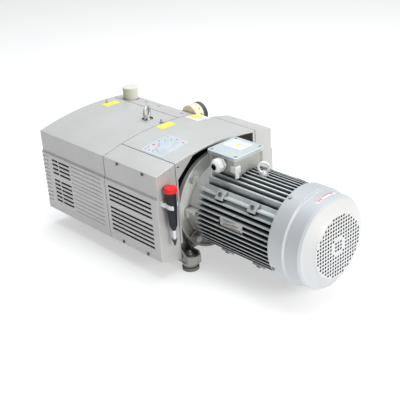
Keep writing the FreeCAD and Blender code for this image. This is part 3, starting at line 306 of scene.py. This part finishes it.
box = surface("box_paint", (0.350, 0.360, 0.330), (0.410, 0.418, 0.388), mottle=16.0, metal=0.25, rough=(0.38, 0.50),
              grain=(620.0, 0.00015), edge=(0.80, 0.82, 0.78), edge_amount=0.9, edge_r=0.0016,
              ao_shade_colour=(0.02, 0.02, 0.02), ao_shade_dist=0.012, ao_shade_amount=0.6, extra=corner)
lid = surface("box_lid_paint", (0.445, 0.490, 0.500), (0.500, 0.545, 0.552), mottle=12.0, metal=0.20, rough=(0.34, 0.46),
              grain=(620.0, 0.00015), edge=(0.92, 0.94, 0.93), edge_amount=0.9, edge_r=0.0018,
              ao_shade_colour=(0.03, 0.03, 0.03), ao_shade_dist=0.006, ao_shade_amount=0.6)
zinc = surface("zinc_steel", (0.56, 0.555, 0.53), (0.42, 0.42, 0.405), mottle=60.0, metal=0.85, rough=(0.36, 0.55),
               grain=(700.0, 0.00010), edge=(0.90, 0.90, 0.87), edge_amount=0.6, edge_r=0.0008,
               ao_shade_colour=(0.03, 0.03, 0.03), ao_shade_dist=0.005, ao_shade_amount=0.7)
bolt = surface("bolt_zinc", (0.60, 0.61, 0.60), (0.46, 0.47, 0.46), mottle=80.0, metal=0.45, rough=(0.28, 0.42),
               grain=(700.0, 0.00008), edge=(0.95, 0.95, 0.94), edge_amount=0.9, edge_r=0.0010,
               ao_shade_colour=(0.01, 0.01, 0.01), ao_shade_dist=0.008, ao_shade_amount=0.95, reach=(0.85, 0.35))
bright = surface("bright_zinc", (0.82, 0.82, 0.80), (0.70, 0.70, 0.68), mottle=60.0, metal=0.30, rough=(0.30, 0.45),
                 grain=(700.0, 0.00008), edge=(0.96, 0.96, 0.95), edge_amount=0.6, edge_r=0.0008,
                 ao_shade_colour=(0.03, 0.03, 0.03), ao_shade_dist=0.006, ao_shade_amount=0.8)
screws = surface("screw_steel", (0.12, 0.12, 0.12), (0.08, 0.08, 0.08), mottle=90.0, metal=0.8, rough=(0.32, 0.48),
                 grain=(900.0, 0.00006), edge=(0.7, 0.7, 0.7), edge_amount=0.5, edge_r=0.0004,
                 ao_shade_colour=(0.01, 0.01, 0.01), ao_shade_dist=0.003, ao_shade_amount=0.8,
                 extra=lambda s, c: s.mix(past(s, "X", 0.236), c, s.mix(past(s, "Z", 0.335), s.mix(past(s, "X", 0.52), (0.20, 0.21, 0.21), (0.22, 0.23, 0.23)), (0.40, 0.41, 0.41))))
steel = surface("steel", (0.50, 0.51, 0.52), (0.42, 0.43, 0.44), mottle=40.0, metal=1.0, rough=(0.22, 0.36),
                grain=(900.0, 0.00004), stretch=(0.2, 1.0, 1.0), edge=(0.8, 0.8, 0.8), edge_amount=0.4, edge_r=0.0006,
                ao_shade_colour=(0.03, 0.028, 0.025), ao_shade_dist=0.004, ao_shade_amount=0.5)
brass = surface("valve_brass", (0.84, 0.68, 0.42), (0.88, 0.73, 0.48), mottle=25.0, metal=0.30, rough=(0.28, 0.40),
                grain=(800.0, 0.00006), edge=(0.98, 0.92, 0.74), edge_amount=0.7, edge_r=0.0012,
                ao_shade_colour=(0.10, 0.06, 0.02), ao_shade_dist=0.008, ao_shade_amount=0.6)
knob = surface("knob_black", (0.040, 0.045, 0.054), (0.055, 0.060, 0.070), mottle=35.0, rough=(0.42, 0.56),
               grain=(700.0, 0.00010), edge=(0.20, 0.21, 0.23), edge_amount=0.6, edge_r=0.0008,
               ao_shade_colour=(0.01, 0.01, 0.01), ao_shade_dist=0.004, ao_shade_amount=0.6)
black = surface("black_plastic", (0.022, 0.022, 0.024), (0.032, 0.032, 0.034), mottle=30.0, rough=(0.40, 0.55),
                grain=(800.0, 0.00008), edge=(0.09, 0.09, 0.09), edge_amount=0.5, edge_r=0.0008,
                ao_shade_colour=(0.005, 0.005, 0.005), ao_shade_dist=0.006, ao_shade_amount=0.5)
barrel = surface("gun_barrel_navy", (0.0095, 0.0110, 0.0190), (0.0135, 0.0150, 0.0245), mottle=30.0, rough=(0.38, 0.52),
                 grain=(900.0, 0.00006), edge=(0.05, 0.055, 0.075), edge_amount=0.5, edge_r=0.0008,
                 ao_shade_colour=(0.004, 0.004, 0.006), ao_shade_dist=0.005, ao_shade_amount=0.4, spec=0.3)
red = surface("red_plastic", (0.80, 0.0075, 0.0055), (0.68, 0.006, 0.005), mottle=40.0, rough=(0.32, 0.46),
              grain=(800.0, 0.00006), edge=(0.95, 0.16, 0.10), edge_amount=0.5, edge_r=0.0008,
              ao_shade_colour=(0.16, 0.002, 0.002), ao_shade_dist=0.004, ao_shade_amount=0.8, spec=0.3)
beige = surface("beige_plastic", (0.60, 0.59, 0.51), (0.55, 0.54, 0.46), mottle=30.0, rough=(0.38, 0.52),
                grain=(700.0, 0.00008), edge=(0.85, 0.84, 0.78), edge_amount=0.7, edge_r=0.0014,
                ao_shade_colour=(0.08, 0.075, 0.06), ao_shade_dist=0.012, ao_shade_amount=0.8)
GLAND = (0.080 + OX, 0.297 + OZ)
# Painted shade: the bore of the gland is painted near black.
gland = surface("gland_plastic", (0.62, 0.64, 0.64), (0.57, 0.59, 0.59), mottle=40.0, rough=(0.32, 0.46),
                grain=(800.0, 0.00006), edge=(0.92, 0.93, 0.93), edge_amount=0.7, edge_r=0.0010,
                ao_shade_colour=(0.04, 0.04, 0.045), ao_shade_dist=0.009, ao_shade_amount=0.85,
                extra=lambda s, c: s.mix(within(s, "Y", GLAND, 0.0090), c, (0.006, 0.006, 0.007)))
plate = surface("plate_metal", (0.42, 0.41, 0.385), (0.48, 0.47, 0.445), mottle=30.0, metal=0.7, rough=(0.30, 0.44),
                grain=(1400.0, 0.00004), stretch=(0.06, 1.0, 1.0), edge=(0.75, 0.75, 0.73), edge_amount=0.6, edge_r=0.0004,
                ao_shade_colour=(0.05, 0.05, 0.05), ao_shade_dist=0.003, ao_shade_amount=0.6)
rubber = surface("foot_rubber", (0.165, 0.158, 0.146), (0.205, 0.196, 0.182), mottle=40.0, rough=(0.62, 0.8),
                 grain=(500.0, 0.00014), edge=(0.22, 0.22, 0.21), edge_amount=0.5)
spider = surface("spider_rubber", (0.45, 0.020, 0.015), (0.36, 0.015, 0.012), mottle=40.0, rough=(0.5, 0.65),
                 grain=(500.0, 0.00010), edge=(0.55, 0.10, 0.08), edge_amount=0.4)
shell = surface("filter_shell", (0.045, 0.048, 0.050), (0.060, 0.062, 0.064), mottle=25.0, metal=0.2, rough=(0.38, 0.5),
                grain=(800.0, 0.00006), edge=(0.16, 0.16, 0.16), edge_amount=0.5)
carbon = surface("carbon", (0.030, 0.030, 0.032), (0.042, 0.042, 0.044), mottle=60.0, metal=0.2, rough=(0.34, 0.5),
                 grain=(1500.0, 0.00004), edge=(0.12, 0.12, 0.12), edge_amount=0.5)
nozzle = surface("gun_nozzle", (0.74, 0.75, 0.75), (0.66, 0.67, 0.67), mottle=40.0, rough=(0.34, 0.46),
                 grain=(900.0, 0.00005), edge=(0.9, 0.9, 0.9), edge_amount=0.3, edge_r=0.0006, ao_shade_dist=0.003,
                 extra=lambda s, c: by_height(s, c, 0.101 + OZ, (0.014, 0.014, 0.015), c))


def pleats(s, c):
    w = s.n("ShaderNodeTexWave", wave_type="BANDS", bands_direction="X")
    w.inputs["Scale"].default_value = 90.0
    s.link(s.co, w.inputs["Vector"])
    return s.mix(s.ramp(w.outputs[0], 0.2, 0.8, 0.0, 0.6), c, (0.30, 0.24, 0.14))


paper = surface("filter_paper", (0.68, 0.60, 0.42), (0.60, 0.52, 0.36), mottle=30.0, rough=(0.75, 0.9),
                grain=(600.0, 0.00012), extra=pleats)
# Acoustic lining foam, near black, which also stands in for the shade inside the hood behind the louvres.
lining_foam_and_shade = surface("hood_lining", (0.010, 0.010, 0.011), (0.016, 0.016, 0.017), mottle=60.0, rough=(0.85, 0.95),
               grain=(420.0, 0.0006), grain2=(150.0, 0.0008), spec=0.2, ao_shade_amount=0.0)
# Rubber seal, near black, which also stands in for the shade in the panel gaps.
seal_and_gap_shade = surface("seal_rubber_and_gap_shade", (0.010, 0.010, 0.010), (0.015, 0.015, 0.015), mottle=60.0, rough=(0.6, 0.8),
               grain=(500.0, 0.00012), spec=0.2, ao_shade_amount=0.0)
vinyl_y = surface("label_yellow", (0.80, 0.665, 0.060), (0.76, 0.63, 0.055), mottle=60.0, rough=(0.34, 0.44),
                  grain=(900.0, 0.00003), edge=(0.95, 0.86, 0.4), edge_amount=0.5, edge_r=0.0003, ao_shade_dist=0.002, ao_shade_amount=0.3)
vinyl_w = surface("label_white", (0.60, 0.605, 0.595), (0.65, 0.655, 0.645), mottle=60.0, rough=(0.32, 0.42),
                  grain=(900.0, 0.00003), edge=(0.9, 0.9, 0.9), edge_amount=0.5, edge_r=0.0003, ao_shade_dist=0.002, ao_shade_amount=0.3)
vinyl_s = surface("placard_silver", (0.54, 0.59, 0.64), (0.60, 0.65, 0.69), mottle=40.0, metal=0.35, rough=(0.26, 0.36),
                  grain=(1300.0, 0.00003), edge=(0.9, 0.9, 0.9), edge_amount=0.5, edge_r=0.0003, ao_shade_dist=0.002, ao_shade_amount=0.3)
ink_k = surface("ink_dark", (0.20, 0.20, 0.22), (0.25, 0.25, 0.27), mottle=90.0, rough=(0.4, 0.5), grain=(900.0, 0.00002),
                ao_shade_amount=0.0)
ink_g = surface("ink_grey", (0.38, 0.39, 0.41), (0.43, 0.44, 0.46), mottle=90.0, rough=(0.4, 0.5), grain=(900.0, 0.00002),
                ao_shade_amount=0.0)
ink_r = surface("ink_red", (0.66, 0.05, 0.045), (0.60, 0.045, 0.04), mottle=90.0, rough=(0.4, 0.5), grain=(900.0, 0.00002),
                ao_shade_amount=0.0)
ink_p = surface("ink_pink", (0.75, 0.24, 0.22), (0.70, 0.22, 0.20), mottle=90.0, rough=(0.4, 0.5), grain=(900.0, 0.00002),
                ao_shade_amount=0.0)

USE = {
    hood: "main_hood service_strip rear_casing front_side_cover rear_side_cover top_cover",
    housing: "adapter_housing",
    iron: "pump_cylinder free_end_shield drive_end_shield free_end_bearing_cap pump_rotor "
          "coupling_hub_pump coupling_hub_motor inlet_manifold",
    steel: "rotor_shaft motor_rotor bearing_outer_rings pump_bearing_inner_rings_and_rollers "
           "motor_bearing_inner_rings_and_balls relief_valve_spring wound_stator",
    carbon: "vane_1 vane_2 vane_3 vane_4 vane_5 vane_6 vane_7",
    shell: "inlet_filter_canister exhaust_silencer",
    paper: "inlet_filter_cartridge",
    beige: "inlet_cap",
    brass: "relief_valve_body relief_valve_poppet",
    knob: "relief_valve_knob",
    black: "coupling_fan motor_fan terminal_block",
    barrel: "grease_gun_barrel",
    zinc: "lifting_eyebolt grease_nipples foot_studs",
    bright: "motor_eyebolt",
    bolt: "flange_bolts",
    screws: "housing_screws",
    rubber: "rubber_feet",
    spider: "coupling_spider",
    flange: "motor_flange_shield",
    motor: "motor_frame motor_rear_shield",
    cowl: "fan_cowl",
    box: "terminal_box",
    lid: "terminal_box_lid",
    plate: "motor_nameplate",
    gland: "gland_body gland_nut grease_gun_clip",
    red: "grease_gun_cap",
    nozzle: "grease_gun_nozzle",
}
dressed = set()
for mat, names in USE.items():
    for name in names.split():
        o = nodes[name]
        o.data.materials.clear()
        o.data.materials.append(mat)
        dressed.add(name)
assert dressed == set(nodes), sorted(set(nodes) ^ dressed)


# ---------------------------------------------------------------- pieces
def add_mesh(name, verts, faces, mat, body="machine", slot="hood_paint", smooth=False):
    me = bpy.data.meshes.new(name)
    me.from_pydata([tuple(v) for v in verts], [], faces)
    me.validate()
    me.update()
    me.materials.append(mat)
    if smooth:
        for p in me.polygons:
            p.use_smooth = True
    o = bpy.data.objects.new(name, me)
    scene.collection.objects.link(o)
    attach(o, body)
    return o


def rounded(x0, x1, y0, y1, r, n=4):
    """A rounded rectangle's outline, anticlockwise."""
    r = min(r, (x1 - x0) / 2 - 1e-6, (y1 - y0) / 2 - 1e-6)
    pts = []
    for cx, cy, a0 in ((x1 - r, y0 + r, -90), (x1 - r, y1 - r, 0), (x0 + r, y1 - r, 90), (x0 + r, y0 + r, 180)):
        for k in range(n + 1):
            a = math.radians(a0 + 90 * k / n)
            pts.append((cx + r * math.cos(a), cy + r * math.sin(a)))
    return pts


def disc(cx, cy, r, n=16):
    return [(cx + r * math.cos(2 * math.pi * k / n), cy + r * math.sin(2 * math.pi * k / n)) for k in range(n)]


def clip_band(poly, lo, hi):
    """The part of a convex outline between v = lo and v = hi."""
    for sign, lim in ((1, lo), (-1, hi)):
        res = []
        for (ax, ay), (bx, by) in zip(poly, poly[1:] + poly[:1]):
            da, db = sign * (ay - lim), sign * (by - lim)
            if da >= 0:
                res.append((ax, ay))
            if (da < 0) != (db < 0):
                t = da / (da - db)
                res.append((ax + t * (bx - ax), ay + t * (by - ay)))
        poly = res
        if len(poly) < 3:
            return []
    return poly


def film(name, outlines, place, base, thick, mat, slot, step=6.0, body="machine"):
    """Thin closed sheets on a surface. place(u, v, h) gives the point at height h over the surface.
    Each outline is cut into strips across v, so the sheet follows the curve."""
    verts, faces = [], []
    for out in outlines:
        vs = [p[1] for p in out]
        lo, hi = min(vs), max(vs)
        n = max(1, math.ceil((hi - lo) / step))
        cuts = [lo + (hi - lo) * k / n for k in range(n + 1)]
        keys = {}

        def at(u, v, h):
            k = (round(u, 4), round(v, 4), h)
            if k not in keys:
                keys[k] = len(verts)
                verts.append(place(u, v, base + thick * h))
            return keys[k]

        edges = {}
        for a, b in zip(cuts, cuts[1:]):
            strip = clip_band(out, a, b)
            clean = []
            for p in strip:
                if not clean or math.hypot(p[0] - clean[-1][0], p[1] - clean[-1][1]) > 1e-3:
                    clean.append(p)
            if len(clean) > 2 and math.hypot(clean[0][0] - clean[-1][0], clean[0][1] - clean[-1][1]) < 1e-3:
                clean.pop()
            if len(clean) < 3:
                continue
            t = [at(u, v, 1) for u, v in clean]
            d = [at(u, v, 0) for u, v in clean]
            faces.append(t)
            faces.append(d[::-1])
            for i in range(len(t)):
                j = (i + 1) % len(t)
                e, r = (t[i], t[j]), (t[j], t[i])
                if r in edges:
                    del edges[r]
                else:
                    edges[e] = (t[i], t[j], d[j], d[i])
        for ti, tj, dj, di in edges.values():
            faces.append([tj, ti, di, dj])
    return add_mesh(name, verts, faces, mat, body=body, slot=slot)


def on_top(u, v, h):
    """u along x, v along y, on the hood's curved roof."""
    n = math.hypot(v, R_TOP)
    a = math.asin(v / R_TOP)
    return P(u, v + h * math.sin(a), ztop(v) + h * math.cos(a))


RAISE = 0.05
# two yellow tags round the grease nipples
for k, (x0, x1, y0, y1) in enumerate(((-516, -484, -11, 42), (-225, -193, -32, 22)), 1):
    film(f"yellow_tag_{k}", [rounded(x0, x1, y0, y1, 2.5)], on_top, RAISE, 0.35, vinyl_y, "gland_plastic")
    ym = (y0 + y1) / 2
    bars = [rounded(x0 + 4.5, x0 + 6.3, ym + 2, y1 - 5, 0.4), rounded(x0 + 8.5, x0 + 10.0, ym + 6, y1 - 5, 0.4),
            rounded(x1 - 7.5, x1 - 5.7, y0 + 6, ym - 4, 0.4)]
    film(f"yellow_tag_marks_{k}", bars, on_top, RAISE + 0.35, 0.06, ink_g, "gland_plastic")

# white label with a yellow block
film("roof_label", [rounded(-226, -168, 85, 144, 2.5)], on_top, RAISE, 0.35, vinyl_w, "gland_plastic")
film("roof_label_yellow", [[(-219, 93), (-187, 106), (-187, 124), (-219, 137)]], on_top, RAISE + 0.35, 0.06, vinyl_y, "gland_plastic")
film("roof_label_marks", [rounded(-181, -179.4, 93, 136, 0.4), rounded(-176.5, -175, 93, 128, 0.4)],
     on_top, RAISE + 0.35, 0.06, ink_g, "gland_plastic")

# the big silver placard with generic bars, blocks and round marks
film("placard", [rounded(-152, -59, -154, -48, 4)], on_top, RAISE, 0.4, vinyl_s, "plate_metal")
grey, dark, redm = [], [], []
for i, x in enumerate((-141, -128, -115, -102)):
    for j, y in enumerate((-92, -80, -68, -58)):
        if (i * 3 + j * 5) % 4 == 0:
            dark.append(rounded(x - 3.0, x + 3.0, y - 3.2, y + 3.2, 1.0))
        elif (i + j) % 3 == 0:
            grey.append(rounded(x - 3.6, x + 2.2, y - 3.4, y + 3.4, 0.6))
        else:
            grey.append(rounded(x - 0.6, x + 0.6, y - 4.2, y + 4.2, 0.4))
for x, y0, y1 in ((-92, -146, -104), (-87, -146, -112), (-82, -146, -100), (-77, -146, -118), (-72, -146, -106),
                  (-92, -94, -72), (-87, -94, -64), (-82, -94, -70), (-67, -146, -126)):
    grey.append(rounded(x - 0.55, x + 0.55, y0, y1, 0.4))
for x, y in ((-141, -143), (-141, -132), (-126, -143), (-112, -140), (-112, -129), (-126, -104), (-100, -134)):
    dark.append(rounded(x - 2.6, x + 2.6, y - 2.8, y + 2.8, 0.8))
redm = [disc(-138, -115, 4.2), disc(-119, -113, 3.2), disc(-71, -61, 3.4)]
film("placard_grey_marks", grey, on_top, RAISE + 0.4, 0.06, ink_g, "plate_metal")
film("placard_dark_marks", dark, on_top, RAISE + 0.4, 0.06, ink_k, "plate_metal")
film("placard_red_marks", redm, on_top, RAISE + 0.4, 0.06, ink_r, "plate_metal")


# label on the terminal box lid
lid_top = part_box("terminal_box_lid")[1].z


def on_lid(u, v, h):
    p = P(u, v, 0)
    p.z = lid_top + h / 1000
    return p


film("lid_label", [rounded(33, 104, -10, 41, 2)], on_lid, 0.05, 0.3, vinyl_w, "gland_plastic", step=100)
film("lid_label_yellow", [[(62, 13), (79, 13), (70.5, 29)]], on_lid, 0.35, 0.06, vinyl_y, "gland_plastic", step=100)
film("lid_label_marks", [rounded(38, 57, 30, 31.2, 0.4), rounded(38, 56, 24, 25.2, 0.4), rounded(38, 58, 18, 19.2, 0.4),
                         rounded(84, 99, 30, 31.2, 0.4), rounded(84, 97, 24, 25.2, 0.4), rounded(84, 99, 18, 19.2, 0.4),
                         rounded(38, 54, 10, 11.0, 0.4), rounded(40, 82, 3, 4, 0.4), rounded(40, 74, -3, -2, 0.4)],
     on_lid, 0.35, 0.05, ink_g, "gland_plastic", step=100)

# label with the arrow that shows the turning direction, round the cowl
R_LABEL = 130.0


def on_cowl(u, v, h):
    a = math.asin(v / R_LABEL)
    r = R_LABEL + h
    return P(u, r * math.sin(a), 144 + r * math.cos(a))


film("cowl_label", [rounded(373, 398, -38, 36, 2)], on_cowl, 0.05, 0.3, vinyl_w, "gland_plastic", step=5)
film("cowl_arrow", [rounded(381.0, 390.0, -10, 22, 0.5), [(374.8, 20.0), (396.2, 20.0), (385.5, 34.5)]],
     on_cowl, 0.35, 0.06, ink_r, "red_plastic", step=5)
film("cowl_label_marks", [rounded(375.0, 382.0, -34, -12, 0.5), rounded(389.5, 396.0, -34, -15, 0.5), rounded(383.5, 388.0, -34, -17, 0.5)],
     on_cowl, 0.35, 0.06, ink_p, "red_plastic", step=5)

# generic stamped rows on the motor's nameplate
np_lo, np_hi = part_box("motor_nameplate")


def on_plate(u, v, h):
    return Vector((np_lo.x + u / 1000, np_lo.y - h / 1000, np_lo.z + v / 1000))


W, H = (np_hi.x - np_lo.x) * 1000, (np_hi.z - np_lo.z) * 1000
rows = []
for k, (a, b) in enumerate(((10, 58), (10, 40), (44, 70), (10, 62), (10, 34), (38, 74))):
    z = H - 5.0 - 3.6 * min(k, 1) - 3.4 * max(0, k - 2) - (0 if k < 2 else 3.6)
    if 3 < z < H - 3 and b < W - 5:
        rows.append(rounded(a, b, z, z + 0.9, 0.3))
film("nameplate_rows", rows, on_plate, -0.55, 0.62, ink_g, "plate_metal", step=100)

# ---------------------------------------------------------------- linings inside the hood, near black, which also stand in for the shade behind the louvres
def slab(name, a, b, mat, slot="foot_rubber"):
    """A flat sheet of lining between two corners (hood frame, mm), with rounded corners."""
    (x0, y0, z0), (x1, y1, z1) = a, b
    d = [abs(x1 - x0), abs(y1 - y0), abs(z1 - z0)]
    thin = d.index(min(d))
    axes = [i for i in range(3) if i != thin]
    lo, hi = [min(p, q) for p, q in zip(a, b)], [max(p, q) for p, q in zip(a, b)]
    out = rounded(lo[axes[0]], hi[axes[0]], lo[axes[1]], hi[axes[1]], 6, 5)

    def place(u, v, h):
        c = [0, 0, 0]
        c[axes[0]], c[axes[1]], c[thin] = u, v, lo[thin] + h
        return P(*c)

    return film(name, [out], place, 0.0, hi[thin] - lo[thin], mat, slot, step=1e9)


for sgn, tag in ((-1, "front"), (1, "rear")):
    slab(f"lining_{tag}_motor_end", (-226, sgn * 227.2, 50), (-16, sgn * 228.9, 216), lining_foam_and_shade)
    slab(f"lining_{tag}_free_end", (-512, sgn * 227.2, 50), (-392, sgn * 228.9, 216), lining_foam_and_shade)

film("lining_roof_free_end", [rounded(-546, -236, -215, 62, 5)], on_top, -6.4, 1.8, lining_foam_and_shade, "foot_rubber", step=12)
film("lining_roof_motor_end", [rounded(-228, -10, -150, 118, 5)], on_top, -6.4, 1.8, lining_foam_and_shade, "foot_rubber", step=12)

# ---------------------------------------------------------------- rubber seals in the panel gaps, near black, which also stand in for the shade in the gaps
SEAM_X, SEAM_Y, G = -232.5, 159.0, 1.12
film("seal_roof_seam", [[(SEAM_X - G, -226.5), (SEAM_X + G, -226.5), (SEAM_X + G, 130.5), (SEAM_X - G, 130.5)]], on_top, -3.6, 3.3, seal_and_gap_shade, "foot_rubber", step=10)
film("seal_service_strip", [[(-550, 67 - G), (SEAM_X - 1.6, 67 - G), (SEAM_X - 1.6, 67 + G), (-550, 67 + G)]], on_top, -3.6, 3.3, seal_and_gap_shade, "foot_rubber", step=10)
film("seal_front_cover_top", [[(SEAM_X + 1.6, -SEAM_Y - G), (-4.5, -SEAM_Y - G), (-4.5, -SEAM_Y + G), (SEAM_X + 1.6, -SEAM_Y + G)]], on_top, -3.6, 3.3, seal_and_gap_shade, "foot_rubber", step=10)
film("seal_rear_cover_top", [[(-178, SEAM_Y - G), (-4.5, SEAM_Y - G), (-4.5, SEAM_Y + G), (-178, SEAM_Y + G)]], on_top, -3.6, 3.3, seal_and_gap_shade, "foot_rubber", step=10)


def bar(name, lo, hi, mat, slot):
    """A straight seal with chamfered long edges (hood frame, mm)."""
    d = [hi[i] - lo[i] for i in range(3)]
    run = d.index(max(d))
    a, b = [i for i in range(3) if i != run]
    c = min(d[a], d[b]) * 0.2
    ring = [(lo[a] + c, lo[b]), (hi[a] - c, lo[b]), (hi[a], lo[b] + c), (hi[a], hi[b] - c), (hi[a] - c, hi[b]),
            (lo[a] + c, hi[b]), (lo[a], hi[b] - c), (lo[a], lo[b] + c)]
    verts = []
    for end in (lo[run], hi[run]):
        for p, q in ring:
            v = [0, 0, 0]
            v[a], v[b], v[run] = p, q, end
            verts.append(P(*v))
    n = len(ring)
    faces = [list(range(n))[::-1], list(range(n, 2 * n))] + [[i, (i + 1) % n, n + (i + 1) % n, n + i] for i in range(n)]
    o = add_mesh(name, verts, faces, mat, slot=slot)
    import bmesh
    bm = bmesh.new()
    bm.from_mesh(o.data)
    bmesh.ops.recalc_face_normals(bm, faces=bm.faces)
    bm.to_mesh(o.data)
    bm.free()
    return o


bar("seal_front_seam_upper", (SEAM_X - G, -228.2, 229.0), (SEAM_X + G, -225.0, 290.5), seal_and_gap_shade, "foot_rubber")
bar("seal_front_seam_lower", (SEAM_X - G, -233.2, 30.5), (SEAM_X + G, -229.9, 222.5), seal_and_gap_shade, "foot_rubber")
bar("seal_front_cover_end", (-3.6, -SEAM_Y - G, 228.0), (-0.3, -SEAM_Y + G, 306.0), seal_and_gap_shade, "foot_rubber")
bar("seal_rear_cover_end", (-3.6, SEAM_Y - G, 228.0), (-0.3, SEAM_Y + G, 306.0), seal_and_gap_shade, "foot_rubber")

# ---------------------------------------------------------------- small details
# the inlet cap's centre and radius, and a maker for rings; no ring is placed
cap_lo, cap_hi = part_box("inlet_cap")
cx, cy = (cap_lo.x + cap_hi.x) / 2, (cap_lo.y + cap_hi.y) / 2
rc = (cap_hi.x - cap_lo.x) / 2


def ring(name, centre, axis, r_mid, r_sec, mat, slot, squash=1.0, n=64, k=12, body="machine"):
    axis = Vector(axis).normalized()
    u = axis.orthogonal().normalized()
    v = axis.cross(u)
    verts, faces = [], []
    for i in range(n):
        a = 2 * math.pi * i / n
        e = u * math.cos(a) + v * math.sin(a)
        for j in range(k):
            b = 2 * math.pi * j / k
            verts.append(Vector(centre) + e * (r_mid + r_sec * math.cos(b)) + axis * (r_sec * squash * math.sin(b)))
    for i in range(n):
        for j in range(k):
            i2, j2 = (i + 1) % n, (j + 1) % k
            faces.append([i * k + j, i2 * k + j, i2 * k + j2, i * k + j2])
    return add_mesh(name, verts, faces, mat, body=body, slot=slot, smooth=True)


# ---------------------------------------------------------------- floor, world and lights
fme = bpy.data.meshes.new("floor")
S = 14.0
fme.from_pydata([(-S, -S, 0), (S, -S, 0), (S, S, 0), (-S, S, 0)], [], [(0, 1, 2, 3)])
floor = bpy.data.objects.new("floor", fme)
scene.collection.objects.link(floor)
floor.location.z = -0.0005
fm = Mat("floor")
fm.put(fm.b.inputs["Base Color"], fm.mix(fm.ramp(fm.noise(1.2, 3.0), 0.3, 0.7), (0.52, 0.52, 0.52), (0.53, 0.53, 0.53)))
fm.b.inputs["Roughness"].default_value = 0.8
fm.b.inputs["Specular IOR Level"].default_value = 0.1
fm.b.inputs["Emission Color"].default_value = (1.0, 1.0, 1.0, 1.0)
fm.b.inputs["Emission Strength"].default_value = 0.50
fme.materials.append(fm.m)

world = bpy.data.worlds.new("studio")
scene.world = world
world.use_nodes = True
wn = world.node_tree
bg = wn.nodes["Background"]
tc = wn.nodes.new("ShaderNodeTexCoord")
dot = wn.nodes.new("ShaderNodeVectorMath")
dot.operation = "DOT_PRODUCT"
dot.inputs[1].default_value = (0.0, -1.0, 0.0)
wn.links.new(tc.outputs["Generated"], dot.inputs[0])
ramp = wn.nodes.new("ShaderNodeMapRange")
for k, v in enumerate((0.0, -0.2, 0.9, 0.55, 0.22)):
    if k:
        ramp.inputs[k].default_value = v
wn.links.new(dot.outputs["Value"], ramp.inputs[0])
path = wn.nodes.new("ShaderNodeLightPath")
seen = wn.nodes.new("ShaderNodeMix")
wn.links.new(path.outputs["Is Camera Ray"], seen.inputs[0])
wn.links.new(ramp.outputs[0], seen.inputs[2])
seen.inputs[3].default_value = 0.98
wn.links.new(seen.outputs[0], bg.inputs[1])
bg.inputs[0].default_value = (1.0, 1.0, 1.0, 1.0)


def area(name, at, to, size, power, colour=(1, 1, 1)):
    d = bpy.data.lights.new(name, "AREA")
    d.shape = "RECTANGLE"
    d.size, d.size_y = size
    d.energy = power
    d.color = colour
    o = bpy.data.objects.new(name, d)
    scene.collection.objects.link(o)
    o.location = at
    o.rotation_euler = (Vector(to) - Vector(at)).to_track_quat("-Z", "Y").to_euler()
    return o


area("softbox_top", (0.0, 0.5, 2.8), (0.1, 0.0, 0.2), (2.8, 2.2), 92.0, (0.91, 0.965, 1.0))
area("softbox_right", (2.9, -0.15, 1.25), (0.3, 0.0, 0.2), (0.9, 0.9), 42.0, (1.0, 0.98, 0.955))
area("softbox_back_right", (2.2, 1.6, 1.9), (0.3, 0.0, 0.2), (0.9, 0.9), 12.0, (1.0, 0.985, 0.96))
